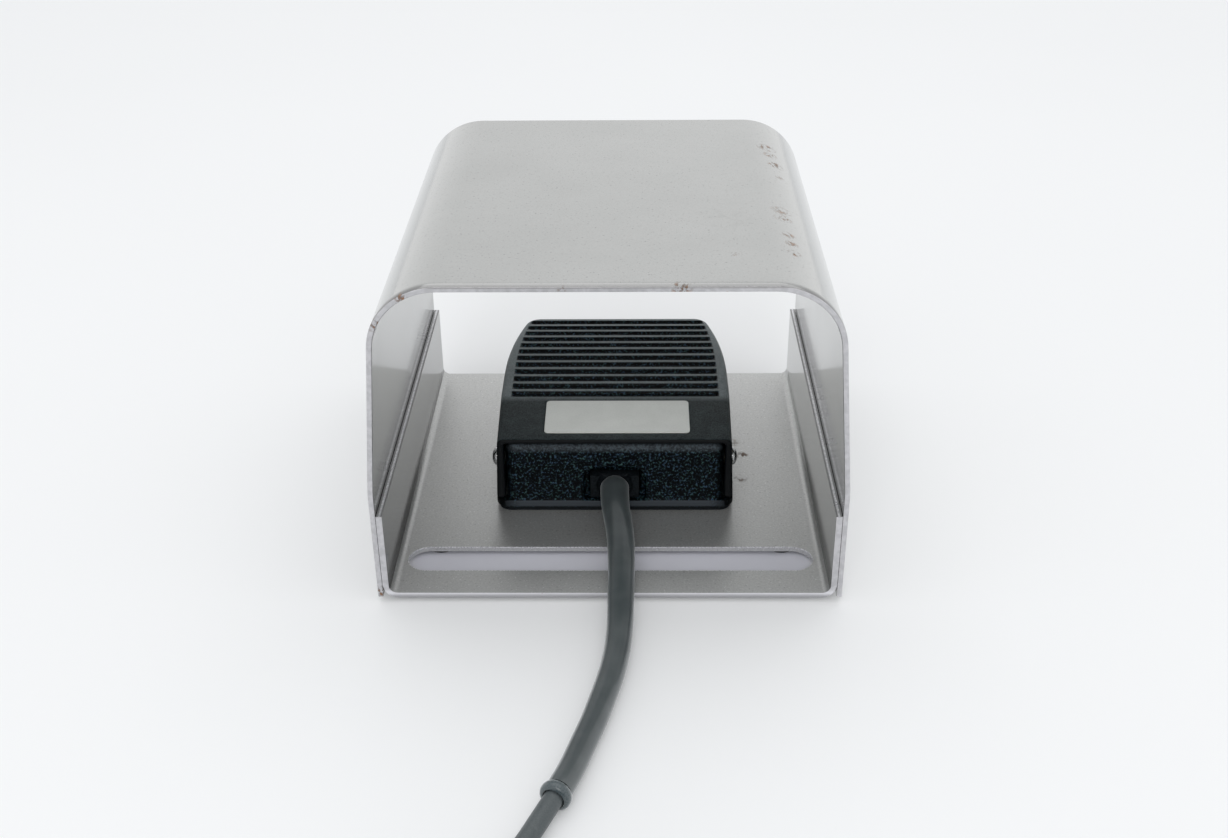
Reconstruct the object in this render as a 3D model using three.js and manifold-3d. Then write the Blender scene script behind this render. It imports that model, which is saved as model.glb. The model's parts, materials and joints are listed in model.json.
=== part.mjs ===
// A guarded foot switch: a cast treadle switch on a folded sheet-steel tray, under a bent steel hood
// that keeps a falling object off the treadle. Its low-voltage cord leaves through a long tapered
// bend relief, and ends in a phone plug beside the coiled spare cord.
//
// Millimetres. +Z is up and the guard stands on z = 0. The origin is under the guard's centre.
// The cord leaves towards -Y, and the foot goes in from +Y.

import * as THREE from 'three';
import { mergeVertices } from 'three/addons/utils/BufferGeometryUtils.js';
import Module from 'manifold-3d';

const wasm = await Module();
wasm.setup();

// ---- driving dimensions -------------------------------------------------------------------------

const gap = 0.3; // left between two pieces that touch
const screwGap = 0.3; // between a screw's shank and its hole, all round
const past = 1; // how far a cutting or joined solid runs past a face

// guard
const guardWidth = 165;
const guardDepth = 169;
const guardHeight = 121; // from the tray's underside to the hood's top
const sheet = 1.9;
const hoodCornerRadius = 24; // outside
const hoodLean = 0.083; // how far the sides lean in, per mm of height
const hoodKinkHeight = 43; // where the sides start to lean
const hoodKinkRadius = 60;
const trayFlangeHeight = 34;
const trayBendRadius = 4.9; // outside
const slotLength = 148.4;
const slotWidth = 14.9;
const slotFromEdge = 13.8; // from the tray's cord-side edge to the slot's rim
const footHeight = 2.2; // from the floor to the tray's underside
const footRadius = 6;
const footDraft = 0.6; // how much narrower it is on the floor
const footInset = 18.5; // from the hood's side to a foot's centre
const footFromCordEdge = 36;
const footFromToeEdge = 12;
const weldLength = 30;
const weldFromEdge = 20;

// switch housing, in the switch's own frame: y = 0 is its cord-side wall, z = 0 the tray's top
const switchShift = 1.3; // the switch stands this far off the guard's centre line
const switchFromEdge = 53.9; // from the guard's cord-side edge to the housing's wall
const plateThickness = 1.2;
const flangeThickness = 3.3;
const flangeStep = 0.9; // how far the flange stands out of the cord-side wall
const flangeInset = 0.8; // from the flange's outline to the bottom plate's
const flangeCorner = 5;
const housingWall = 3;
const housingTop = 29.3; // height of the cord-side wall
const housingCrest = 3.4; // rounding along that wall's top
const housingCorner = 3.6;
const ledgeLength = 9; // the housing's top is level this far, then it falls away
const slopeStartY = 45;
const slopeStartZ = 28.2;
const slopeEndZ = 23.6;
const gasketWidth = 2.4;
const gasketHeight = 0.9;
const gasketFromOutline = 2.5;

// treadle
const treadleHalfWidth = 45;
const treadleLength = 104;
const treadleWall = 2.8;
const treadlePlate = 2.9; // thickness under the tread
const treadleSideGap = 0.6; // between its skirts and the housing
const treadleToeGap = 1.4; // the same at the toe, where the skirt swings towards the housing
const treadleLip = 1.8; // thickness at the cord-side edge
const treadleLipLength = 14; // it grows to the full thickness over this length
const crownRadius = 620;
const crownY = 63.7;
const crownZ = 34.7;
const toeRounding = 2.4; // along the toe edge, seen from the side
const sideArcY = 53.5; // the sides curve in from here to the toe
const sideArcRadius = 195;
const toeCorner = 8;
const treadleEdge = 0.5; // rounding of its two cord-side corners, seen from above
const skirtCordZ = 5.9; // height of the skirts' lower edge at the cord end
const skirtToeZ = 12.6;
const grooveCount = 12;
const groovePitch = 6;
const grooveWidth = 3.6;
const grooveDepth = 1.2;
const firstGrooveY = 32.4;
const grooveHalfLength = 40.8;
const grooveTaperY = 55; // the grooves shorten past here
const grooveTaperRadius = 267;
const labelWidth = 55.5;
const labelLength = 22;
const labelThickness = 0.5;
const labelFromEdge = 4.7;
const labelShift = 1;
const labelCorner = 1.6;
const labelTilt = 4.6; // degrees, as the treadle's top slopes there
const labelProud = 0.2;

// pivot
const pivotY = 7.5;
const pivotZ = 20.1;
const pivotShank = 2;
const pivotShankLength = 13;
const pivotHeadRadius = 3.5;
const pivotHeadHeight = 1.9;
const bushingWall = 0.8;
const pivotBossRadius = 5.5;
const pivotBossLength = 7;
const driverSlot = 0.8; // width and depth of a screwdriver slot

// screws through the tray, bottom plate and housing
const screwShank = 1.9;
const screwHeadRadius = 3.6;
const screwHeadHeight = 1.4;
const screwLength = 13;
const postRadius = 4.6;
const postHeight = 16;
const postInset = 11.5; // from the treadle's outline to a post's axis
const postCordY = 9;
const postToeY = 91;
const webThickness = 3; // between a post and the wall

// plunger, seal and snap switch
const plungerY = 54;
const plungerRadius = 2.5;
const plungerNoseRadius = 1.2;
const plungerNose = 1.5;
const plungerChamfer = 0.5;
const plungerTopRadius = 1.5;
const plungerTop = 31.3;
const plungerBottom = 21.05;
const sealRadius = 5.5;
const sealHeight = 2;
const sealSunk = 0.1; // below the housing's top
const snapLength = 19.8;
const snapWidth = 6.4;
const snapHeight = 10.2;
const snapY = 36; // its cord-side end
const snapZ = 6;
const snapEar = 1; // how deep an ear is rooted in the case
const snapEarReach = 1.5; // from the lever's pin to an ear's edges
const leverPivotY = 38.5;
const leverPivotZ = 17.6;
const leverLength = 18;
const leverWidth = 3.6;
const leverThickness = 0.4;
const leverTilt = 10; // degrees at rest
const leverEye = 1.1;
const leverPin = 0.5; // radius
const leverPinEnd = 0.4; // how far it stands out of an ear
const buttonFromPivot = 6;
const buttonRadius = 1.2;
const buttonTop = 18.1;
const buttonDepth = 2.5; // how much of the button is inside the switch
const buttonRoom = 2; // under it
const bladeCount = 3;
const bladePitch = 7.5;
const bladeWidth = 3.2;
const bladeThickness = 0.5;
const bladeLength = 2.7;
const bracketSheet = 1.2;
const bracketFoot = 12;
const bracketHeight = 13;
const snapScrewShank = 1;
const snapScrewHead = 2;
const snapScrewHeadHeight = 1.2;
const snapScrewPitch = 9.5;
const snapScrewZ = 9;
const snapScrewEnd = 1; // how far a screw stands out of the bracket
const wireRadius = 0.9;
const wireX = 2.2; // from the cord's axis, where a lead leaves the gland
const wireStraight = 3; // it runs straight on for this length
const wireDropY = 10; // and has dropped by this far from the gland
const wireDrop = 1.5;
const wireBend = 7; // the common lead levels out in this length before its terminal
const wireEnd = 2.5; // both run straight to their terminals for this length
const wireBeside = 2; // between the switched lead and the snap switch's screw heads

// return spring and stops
const springY = 84;
const springZ = 12;
const springRadius = 5;
const springWire = 0.65; // radius
const springTurns = 6;
const springCupRadius = 6.6;
const springCupWall = 2;
const springPegRadius = 3.5;
const springPegHeight = 2;
const stopRadius = 4;
const stopY = 93;
const stopX = 27;
const stopTop = 25.2;
const stopSeat = 1.8; // how deep a stop sits in the housing

// gland in the cord-side wall
const notchHalfWidth = 12;
const notchTop = 19.5;
const notchCorner = 6;
const notchDepth = 4.5;
const notchBack = 4.5; // wall left behind the notch
const notchWall = 3; // metal left over and beside it
const glandHalfWidth = 9.4;
const glandTop = 15.1;
const glandFront = 1; // how far its face is behind the wall
const glandFlange = 2.6;
const glandFlangeLip = 2.4;
const cordAxisZ = 10.7;

// cord
const cordRadius = 3.1;
const cordSides = 8;
const reliefLength = 157;
const reliefStartRadius = 5.5;
const reliefEndRadius = 4.1;
const reliefTaper = 1.6; // exponent of its taper
const reliefBore = 3.52;
const reliefSides = 12;
const ringRadius = 5;
const ringWidth = 3.6;
const ringCrown = 1.1; // how far its middle stands above its ends
const routeSteps = 26; // along the run from the gland to the coil
const tailSteps = 14;
const coilCentre = { x: -12, y: -278.6 };
const coilMeanRadius = 37.1;
const coilLayers = 4;
const coilLayerLoops = 2;
const coilStartAngle = 152; // degrees
const coilPitch = 6.8; // from turn to turn, and from layer to layer
const coilSteps = 24; // in a loop
const coilSides = 6;
const coilLastLoops = 4 / 3; // loops in the top layer
const tieWidth = 10;
const tieThickness = 0.8;
const tieAngle = 250; // degrees round the coil

// plug
const plugRadius = 6.8;
const plugGripLength = 34;
const plugCollarRadius = 5.4;
const plugCollarLength = 5;
const plugShaftRadius = 3.175;
const plugShaftLength = 21.5;
const plugTipLength = 8;
const plugEndRadius = 4.2; // of the grip, where the cord goes in
const plugTaperRadius = 5.4;
const plugTaperLength = 6;
const plugTaperEnd = 10;
const plugChamfer = 1;
const plugNeckRadius = 2.3; // of the groove in the tip
const plugNeckAt = 3; // from the tip's back to the groove's middle
const plugPointRadius = 1.6;
const insulatorLength = 1;

// ---- the cord's route, in this frame ------------------------------------------------------------

const routeStart = new THREE.Vector3(
  switchShift,
  switchFromEdge - guardDepth / 2 + glandFront - gap,
  footHeight + sheet + cordAxisZ,
);

const runPoints = [
  [1.4, -35.6, 14.7],
  [1.8, -43.6, 14.2],
  [3.0, -53.6, 13.4],
  [3.9, -64.0, 12.4],
  [4.2, -76.9, 10.8],
  [4.1, -93.2, 7.8],
  [3.9, -104.6, 5.5],
  [3.1, -117.1, 4.7],
  [1.3, -129.6, 4.5],
  [-1.5, -142.3, 4.4],
  [-4.0, -152.6, 4.3],
  [-6.8, -162.3, 4.3],
  [-10.2, -174.1, 4.5],
  [-13.8, -184.5, 5.1],
  [-18.3, -194.8, 4.6],
  [-22.7, -203.6, 3.4],
  [-30.4, -219.1, 3.2],
  [-38.0, -234.4, 3.5],
];

const tailPoints = [
  [-34.5, -240.8, 24.6],
  [-45.0, -246.6, 24.2],
  [-54.5, -256.1, 22.6],
  [-60.9, -267.1, 19.6],
  [-63.9, -278.6, 15.8],
  [-63.8, -290.1, 12.0],
  [-60.6, -301.6, 9.0],
  [-55.0, -312.1, 7.4],
  [-47.0, -321.1, 6.9],
  [-37.5, -328.1, 6.8],
  [-29.0, -331.6, 6.8],
];

// ---- helpers ------------------------------------------------------------------------------------

const rad = THREE.MathUtils.degToRad;

/** A closed geometry as a solid that can be joined and cut. */
function solid(geometry) {
  const bare = geometry.clone();
  bare.deleteAttribute('normal');
  bare.deleteAttribute('uv');
  const merged = mergeVertices(bare, 1e-3);
  const corners = merged.index.array;
  const kept = [];
  for (let i = 0; i < corners.length; i += 3) {
    const [a, b, c] = [corners[i], corners[i + 1], corners[i + 2]];
    if (a !== b && b !== c && c !== a) {
      kept.push(a, b, c);
    }
  }
  return new wasm.Manifold(
    new wasm.Mesh({
      numProp: 3,
      vertProperties: Float32Array.from(merged.attributes.position.array),
      triVerts: Uint32Array.from(kept),
    }),
  );
}

/** A solid as a geometry with flat faces. */
function faceted(body) {
  const mesh = body.getMesh();
  const geometry = new THREE.BufferGeometry();
  geometry.setAttribute('position', new THREE.Float32BufferAttribute(mesh.vertProperties, 3));
  geometry.setIndex(Array.from(mesh.triVerts));
  const flat = geometry.toNonIndexed();
  flat.computeVertexNormals();
  return flat;
}

function cut(body, ...tools) {
  return tools.reduce((left, tool) => left.subtract(tool), body);
}

function join(body, ...others) {
  return others.reduce((sum, other) => sum.add(other), body);
}

/** A plan outline, raised from one height to another. */
function alongZ(shape, low, high, curveSegments = 8) {
  const geometry = new THREE.ExtrudeGeometry(shape, {
    depth: high - low,
    bevelEnabled: false,
    curveSegments,
  });
  return geometry.translate(0, 0, low);
}

/** A section drawn in x and z, carried from one y to another. */
function alongY(shape, from, to, curveSegments = 8) {
  const geometry = new THREE.ExtrudeGeometry(shape, {
    depth: to - from,
    bevelEnabled: false,
    curveSegments,
  });
  return geometry.rotateX(Math.PI / 2).translate(0, to, 0);
}

/** A section drawn in y and z, carried from one x to another. */
function alongX(shape, from, to, curveSegments = 8) {
  const geometry = new THREE.ExtrudeGeometry(shape, {
    depth: to - from,
    bevelEnabled: false,
    curveSegments,
  });
  const turn = new THREE.Matrix4().makeBasis(
    new THREE.Vector3(0, 1, 0),
    new THREE.Vector3(0, 0, 1),
    new THREE.Vector3(1, 0, 0),
  );
  return geometry.applyMatrix4(turn).translate(from, 0, 0);
}

function box(x0, x1, y0, y1, z0, z1) {
  const geometry = new THREE.BoxGeometry(x1 - x0, y1 - y0, z1 - z0);
  return geometry.translate((x0 + x1) / 2, (y0 + y1) / 2, (z0 + z1) / 2);
}

/** An upright cylinder. */
function post(x, y, radius, low, high, sides = 12) {
  const geometry = new THREE.CylinderGeometry(radius, radius, high - low, sides);
  return geometry.rotateX(Math.PI / 2).translate(x, y, (low + high) / 2);
}

/** A cylinder that lies along x. */
function rod(y, z, radius, from, to, sides = 12) {
  const geometry = new THREE.CylinderGeometry(radius, radius, to - from, sides);
  return geometry.rotateZ(Math.PI / 2).translate((from + to) / 2, y, z);
}

/** A profile of [radius, height] pairs, turned about z. */
function turned(profile, sides = 16) {
  const points = profile.map(([r, z]) => new THREE.Vector2(r, z));
  return new THREE.LatheGeometry(points, sides).rotateX(Math.PI / 2);
}

function polygon(points) {
  const shape = new THREE.Shape();
  shape.moveTo(points[0][0], points[0][1]);
  for (const [x, y] of points.slice(1)) {
    shape.lineTo(x, y);
  }
  shape.closePath();
  return shape;
}

function roundedBox(halfWidth, halfLength, radius) {
  const shape = new THREE.Shape();
  const x = halfWidth - radius;
  const y = halfLength - radius;
  shape.absarc(x, y, radius, 0, Math.PI / 2, false);
  shape.absarc(-x, y, radius, Math.PI / 2, Math.PI, false);
  shape.absarc(-x, -y, radius, Math.PI, Math.PI * 1.5, false);
  shape.absarc(x, -y, radius, Math.PI * 1.5, Math.PI * 2, false);
  shape.closePath();
  return shape;
}

/**
 * The section of a bent sheet. corners are the points where its straight runs' middle lines meet,
 * from end to end, and radii the bend radius of the middle line at each inner corner.
 */
function bentSheet(corners, radii, thickness, arcSteps) {
  const line = [];
  const ends = corners.map(([x, y]) => new THREE.Vector2(x, y));
  const heading = ends.slice(1).map((p, i) => p.clone().sub(ends[i]).normalize());
  line.push([ends[0], heading[0]]);
  radii.forEach((radius, i) => {
    const before = heading[i];
    const after = heading[i + 1];
    const turn = before.angleTo(after);
    const side = Math.sign(before.cross(after));
    const setback = radius * Math.tan(turn / 2);
    const start = ends[i + 1].clone().addScaledVector(before, -setback);
    const normal = new THREE.Vector2(-before.y, before.x).multiplyScalar(side);
    const centre = start.clone().addScaledVector(normal, radius);
    for (let k = 0; k <= arcSteps; k++) {
      const angle = (side * turn * k) / arcSteps;
      const point = start.clone().rotateAround(centre, angle);
      line.push([point, before.clone().rotateAround(new THREE.Vector2(), angle)]);
    }
  });
  line.push([ends.at(-1), heading.at(-1)]);
  const offset = (amount) => line.map(([p, h]) => [p.x - h.y * amount, p.y + h.x * amount]);
  return polygon([...offset(-thickness / 2), ...offset(thickness / 2).reverse()]);
}

/**
 * A round tube through a list of stations, closed at both ends, or open along its bore. Each ring
 * lies square to the line, and is carried along it without twist.
 */
function tube(stations, radiusAt, sides, bore = 0) {
  const tangents = stations.map((p, i) => {
    const before = stations[Math.max(i - 1, 0)];
    const after = stations[Math.min(i + 1, stations.length - 1)];
    return after.clone().sub(before).normalize();
  });
  const positions = [];
  const faces = [];
  const normal = new THREE.Vector3(0, 0, 1).projectOnPlane(tangents[0]).normalize();
  const rings = bore > 0 ? 2 : 1;
  stations.forEach((p, i) => {
    normal.projectOnPlane(tangents[i]).normalize();
    const side = new THREE.Vector3().crossVectors(tangents[i], normal);
    for (const radius of [radiusAt(i), bore].slice(0, rings)) {
      for (let k = 0; k < sides; k++) {
        const angle = (2 * Math.PI * k) / sides;
        const out = normal.clone().multiplyScalar(Math.cos(angle) * radius);
        out.addScaledVector(side, Math.sin(angle) * radius).add(p);
        positions.push(out.x, out.y, out.z);
      }
    }
  });
  const at = (i, ring, k) => (i * rings + ring) * sides + (k % sides);
  const last = stations.length - 1;
  for (let i = 0; i < last; i++) {
    for (let k = 0; k < sides; k++) {
      faces.push(at(i, 0, k), at(i, 0, k + 1), at(i + 1, 0, k + 1));
      faces.push(at(i, 0, k), at(i + 1, 0, k + 1), at(i + 1, 0, k));
      if (rings === 2) {
        faces.push(at(i, 1, k), at(i + 1, 1, k + 1), at(i, 1, k + 1));
        faces.push(at(i, 1, k), at(i + 1, 1, k), at(i + 1, 1, k + 1));
      }
    }
  }
  for (let k = 0; k < sides; k++) {
    if (rings === 2) {
      faces.push(at(0, 0, k), at(0, 1, k), at(0, 1, k + 1));
      faces.push(at(0, 0, k), at(0, 1, k + 1), at(0, 0, k + 1));
      faces.push(at(last, 0, k), at(last, 1, k + 1), at(last, 1, k));
      faces.push(at(last, 0, k), at(last, 0, k + 1), at(last, 1, k + 1));
    } else if (k > 0 && k < sides - 1) {
      faces.push(at(0, 0, 0), at(0, 0, k + 1), at(0, 0, k));
      faces.push(at(last, 0, 0), at(last, 0, k), at(last, 0, k + 1));
    }
  }
  const geometry = new THREE.BufferGeometry();
  geometry.setAttribute('position', new THREE.Float32BufferAttribute(positions, 3));
  geometry.setIndex(faces);
  geometry.computeVertexNormals();
  return geometry;
}

/** A plain cord along a curve. */
function cordAlong(curve, radius, sides, steps) {
  const section = [];
  for (let k = 0; k < sides; k++) {
    const angle = (2 * Math.PI * (k + 0.5)) / sides;
    section.push([Math.cos(angle) * radius, Math.sin(angle) * radius]);
  }
  return new THREE.ExtrudeGeometry(polygon(section), {
    extrudePath: curve,
    steps,
    bevelEnabled: false,
  });
}

function smoothCurve(points) {
  return new THREE.CatmullRomCurve3(points, false, 'centripetal');
}

function vectors(rows) {
  return rows.map(([x, y, z]) => new THREE.Vector3(x, y, z));
}

// ---- materials ----------------------------------------------------------------------------------

const finish = (color, roughness, metalness) => () =>
  new THREE.MeshStandardMaterial({ color, roughness, metalness });

const platedSteel = finish('#aeb0af', 0.42, 0.85);
const blackCasting = finish('#26292a', 0.6, 0.2);
const blackSteel = finish('#1f2122', 0.5, 0.4);
const brightSteel = finish('#c3c5c6', 0.25, 1);
const springSteel = finish('#8d9092', 0.35, 1);
const brass = finish('#c0a25a', 0.35, 1);
const blackRubber = finish('#1b1d1e', 0.8, 0);
const greyRubber = finish('#464d4d', 0.45, 0);
const greyCord = finish('#5a6165', 0.5, 0);
const labelFilm = finish('#cfd0c8', 0.5, 0);
const blackPlastic = finish('#17191a', 0.4, 0);
const redPlastic = finish('#8c2320', 0.4, 0);
const whitePlastic = finish('#d8d8d4', 0.5, 0);
const weldMetal = finish('#8b8b88', 0.5, 0.8);

function piece(name, geometry, material) {
  const mesh = new THREE.Mesh(geometry, material());
  mesh.name = name;
  return mesh;
}

// ---- guard --------------------------------------------------------------------------------------

const sides = { left: -1, right: 1 };
const cordEdge = -guardDepth / 2;
const toeEdge = guardDepth / 2;
const trayHalf = guardWidth / 2 - sheet - gap; // outside of the tray's flanges

function hood() {
  const half = (guardWidth - sheet) / 2;
  const top = guardHeight - sheet / 2;
  const topHalf = half - hoodLean * (top - hoodKinkHeight);
  const corners = [
    [-half, 0],
    [-half, hoodKinkHeight],
    [-topHalf, top],
    [topHalf, top],
    [half, hoodKinkHeight],
    [half, 0],
  ];
  const corner = hoodCornerRadius - sheet / 2;
  const section = bentSheet(corners, [hoodKinkRadius, corner, corner, hoodKinkRadius], sheet, 8);
  return piece('guard_hood', alongY(section, cordEdge, toeEdge), platedSteel);
}

const slotCentreY = cordEdge + slotFromEdge + slotWidth / 2;

function tray(screwPlaces) {
  const half = trayHalf - sheet / 2;
  const corners = [
    [-half, trayFlangeHeight],
    [-half, sheet / 2],
    [half, sheet / 2],
    [half, trayFlangeHeight],
  ];
  const bend = trayBendRadius - sheet / 2;
  const section = bentSheet(corners, [bend, bend], sheet, 6);
  const slot = roundedBox(slotLength / 2, slotWidth / 2, slotWidth / 2);
  const slotTool = alongZ(slot, -past, sheet + past).translate(0, slotCentreY, 0);
  const holes = screwPlaces.map(([x, y]) =>
    solid(post(x, y, screwShank + screwGap, -past, sheet + past)),
  );
  const body = cut(solid(alongY(section, cordEdge, toeEdge)), solid(slotTool), ...holes);
  return piece('guard_tray', faceted(body), platedSteel);
}

/** A bead in the groove between the hood's lower edge and the tray's bend. */
function weldBead(name, side, y) {
  const outer = guardWidth / 2 - sheet - gap;
  const centreX = trayHalf - trayBendRadius;
  const reach = trayBendRadius + gap;
  const low = gap;
  const start = Math.asin((trayBendRadius - low) / reach);
  const end = Math.acos((outer - centreX) / reach);
  const points = [[outer, low]];
  const steps = 4;
  for (let k = 0; k <= steps; k++) {
    const angle = start + ((end - start) * k) / steps;
    points.push([
      centreX + reach * Math.cos(angle),
      trayBendRadius - reach * Math.sin(angle),
    ]);
  }
  const section = polygon(points.map(([x, z]) => [x * side, z]));
  return piece(name, alongY(section, y - weldLength / 2, y + weldLength / 2), weldMetal);
}

function foot(name, x, y) {
  const top = footHeight - gap;
  const profile = [
    [0, 0],
    [footRadius - footDraft, 0],
    [footRadius, top],
    [0, top],
  ];
  return piece(name, turned(profile).translate(x, y, 0), blackRubber);
}

// ---- switch outline and heights -----------------------------------------------------------------

const plateZ = gap;
const housingZ = plateZ + plateThickness + gap;
const flangeTop = housingZ + flangeThickness;
const housingInset = treadleWall + treadleSideGap;
const housingToeY = treadleLength - treadleWall - treadleToeGap;

/** Half the treadle's width at y, less inset. */
function halfWidthAt(y, inset) {
  if (y < sideArcY) {
    return treadleHalfWidth - inset;
  }
  const reach = sideArcRadius - inset;
  return treadleHalfWidth - sideArcRadius + Math.sqrt(reach ** 2 - (y - sideArcY) ** 2);
}

/** The treadle's plan outline, drawn in by inset, from cordY to the toe. */
function planOutline(inset, cordY, cordCorner) {
  const half = treadleHalfWidth - inset;
  const arcX = treadleHalfWidth - sideArcRadius;
  const cornerY = treadleLength - toeCorner;
  const rise = cornerY - sideArcY;
  const cornerX = arcX + Math.sqrt((sideArcRadius - toeCorner) ** 2 - rise ** 2);
  const meet = Math.asin(rise / (sideArcRadius - toeCorner));
  const shape = new THREE.Shape();
  const y = cordY + cordCorner;
  const x = half - cordCorner;
  shape.absarc(x, y, cordCorner, -Math.PI / 2, 0, false);
  shape.absarc(arcX, sideArcY, sideArcRadius - inset, 0, meet, false);
  shape.absarc(cornerX, cornerY, toeCorner - inset, meet, Math.PI / 2, false);
  shape.absarc(-cornerX, cornerY, toeCorner - inset, Math.PI / 2, Math.PI - meet, false);
  shape.absarc(-arcX, sideArcY, sideArcRadius - inset, Math.PI - meet, Math.PI, false);
  shape.absarc(-x, y, cordCorner, Math.PI, Math.PI * 1.5, false);
  shape.closePath();
  return shape;
}

function crownAt(y) {
  return crownZ - crownRadius + Math.sqrt(crownRadius ** 2 - (y - crownY) ** 2);
}

/** Height of the housing's sloping top at y. */
function housingTopAt(y) {
  if (y < slopeStartY) {
    const share = (y - ledgeLength) / (slopeStartY - ledgeLength);
    return THREE.MathUtils.lerp(housingTop, slopeStartZ, THREE.MathUtils.clamp(share, 0, 1));
  }
  const share = (y - slopeStartY) / (treadleLength - slopeStartY);
  return THREE.MathUtils.lerp(slopeStartZ, slopeEndZ, share);
}

const postX = (y) => halfWidthAt(y, postInset);
const screwSpots = [
  ['cord_left', -postX(postCordY), postCordY],
  ['cord_right', postX(postCordY), postCordY],
  ['toe_left', -postX(postToeY), postToeY],
  ['toe_right', postX(postToeY), postToeY],
];

// ---- switch housing -----------------------------------------------------------------------------

const farX = guardWidth; // beyond every piece of the switch

function housingShell() {
  const side = new THREE.Shape();
  side.moveTo(0, housingZ);
  side.lineTo(housingToeY, housingZ);
  side.lineTo(housingToeY, housingTopAt(housingToeY));
  side.lineTo(slopeStartY, slopeStartZ);
  side.lineTo(ledgeLength, housingTop);
  side.lineTo(housingCrest, housingTop);
  side.absarc(housingCrest, housingTop - housingCrest, housingCrest, Math.PI / 2, Math.PI, false);
  side.closePath();
  const block = solid(alongX(side, -farX, farX, 5));
  const plan = planOutline(housingInset, 0, housingCorner);
  return block.intersect(solid(alongZ(plan, 0, housingTop + past, 4)));
}

function housingCavity() {
  const wall = housingWall;
  const toe = housingToeY - wall;
  const under = (y) => housingTopAt(y) - wall;
  const side = polygon([
    [wall, 0],
    [toe, 0],
    [toe, under(toe)],
    [slopeStartY, under(slopeStartY)],
    [wall, under(slopeStartY)],
  ]);
  const block = solid(alongX(side, -farX, farX));
  const plan = planOutline(housingInset + wall, wall, housingCorner);
  return block.intersect(solid(alongZ(plan, -past, housingTop, 4)));
}

function notchSection(halfWidth, top, corner) {
  const shape = new THREE.Shape();
  shape.moveTo(halfWidth, flangeTop);
  shape.absarc(halfWidth - corner, top - corner, corner, 0, Math.PI / 2, false);
  shape.absarc(corner - halfWidth, top - corner, corner, Math.PI / 2, Math.PI, false);
  shape.lineTo(-halfWidth, flangeTop);
  shape.closePath();
  return shape;
}

const gasketLow = housingZ;
const gasketOutline = gasketFromOutline + gap; // the gasket's inset, inside its groove
const flangeOutset = 0.8; // the flange stands this far outside the treadle's sides

function ringSolid(outerInset, innerInset, low, high) {
  const cord = -flangeStep;
  const outer = planOutline(outerInset - flangeOutset, cord + outerInset, flangeCorner);
  const inner = planOutline(innerInset - flangeOutset, cord + innerInset, flangeCorner);
  return cut(solid(alongZ(outer, low, high, 4)), solid(alongZ(inner, low - past, high + past, 4)));
}

const backOfNotch = notchDepth + notchBack;

function housing() {
  const flange = alongZ(planOutline(-flangeOutset, -flangeStep, flangeCorner), housingZ, flangeTop, 4);
  const rim = cut(solid(flange), housingCavity());
  const thickening = solid(
    box(
      -notchHalfWidth - notchWall,
      notchHalfWidth + notchWall,
      housingWall / 2,
      backOfNotch,
      housingZ,
      notchTop + notchWall,
    ),
  );
  const posts = screwSpots.map(([, x, y]) => solid(post(x, y, postRadius, housingZ, postHeight)));
  const webs = screwSpots.map(([, x, y]) => {
    const out = Math.sign(x) * (halfWidthAt(y, housingInset) - housingWall / 2);
    const half = webThickness / 2;
    return solid(box(Math.min(x, out), Math.max(x, out), y - half, y + half, housingZ, postHeight));
  });
  const cup = solid(
    post(0, springY, springCupRadius + springCupWall, springZ - springCupWall - gap, housingTopAt(springY) - past, 20),
  );
  const bosses = Object.values(sides).map((side) => {
    const outer = side * (treadleHalfWidth - housingInset - housingWall / 2);
    const inner = outer - side * pivotBossLength;
    return solid(
      rod(pivotY, pivotZ, pivotBossRadius, Math.min(outer, inner), Math.max(outer, inner)),
    );
  });
  const shell = cut(housingShell(), housingCavity());
  const body = join(shell, rim, thickening, ...posts, ...webs, cup, ...bosses);
  const glandHole = box(
    -glandHalfWidth - gap,
    glandHalfWidth + gap,
    0,
    backOfNotch + past,
    flangeTop,
    glandTop + gap,
  );
  return piece(
    'switch_housing',
    faceted(
      cut(
        body,
        solid(alongY(notchSection(notchHalfWidth, notchTop, notchCorner), -flangeStep - past, notchDepth)),
        solid(glandHole),
        ringSolid(
          gasketFromOutline,
          gasketFromOutline + gasketWidth + 2 * gap,
          housingZ - past,
          gasketLow + gasketHeight + gap,
        ),
        solid(post(0, springY, springCupRadius, springZ - gap, housingTop, 20)),
        solid(post(0, plungerY, plungerRadius + gap, 0, housingTop)),
        solid(post(0, plungerY, sealRadius + gap, housingTopAt(plungerY) - sealHeight - gap, housingTop)),
        solid(rod(pivotY, pivotZ, pivotShank + screwGap, -farX, farX)),
        ...screwSpots.map(([, x, y]) =>
          solid(post(x, y, screwShank + screwGap, 0, screwLength + gap)),
        ),
        ...Object.values(sides).map((side) =>
          solid(post(side * stopX, stopY, stopRadius + gap, housingTopAt(stopY) - stopSeat - gap, housingTop)),
        ),
      ),
    ),
    blackCasting,
  );
}

function bottomPlate() {
  const outline = planOutline(flangeInset - flangeOutset, flangeInset - flangeStep, flangeCorner);
  const holes = screwSpots.map(([, x, y]) =>
    solid(post(x, y, screwShank + screwGap, -past, housingZ)),
  );
  const bracketHoles = bracketScrewSpots.map(([x, y]) =>
    solid(post(x, y, snapScrewShank + screwGap, -past, housingZ)),
  );
  const plate = solid(alongZ(outline, plateZ, plateZ + plateThickness, 4));
  return piece('bottom_plate', faceted(cut(plate, ...holes, ...bracketHoles)), blackSteel);
}

function gasket() {
  const ring = ringSolid(
    gasketOutline,
    gasketOutline + gasketWidth,
    gasketLow,
    gasketLow + gasketHeight,
  );
  return piece('housing_gasket', faceted(ring), blackRubber);
}

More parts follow.
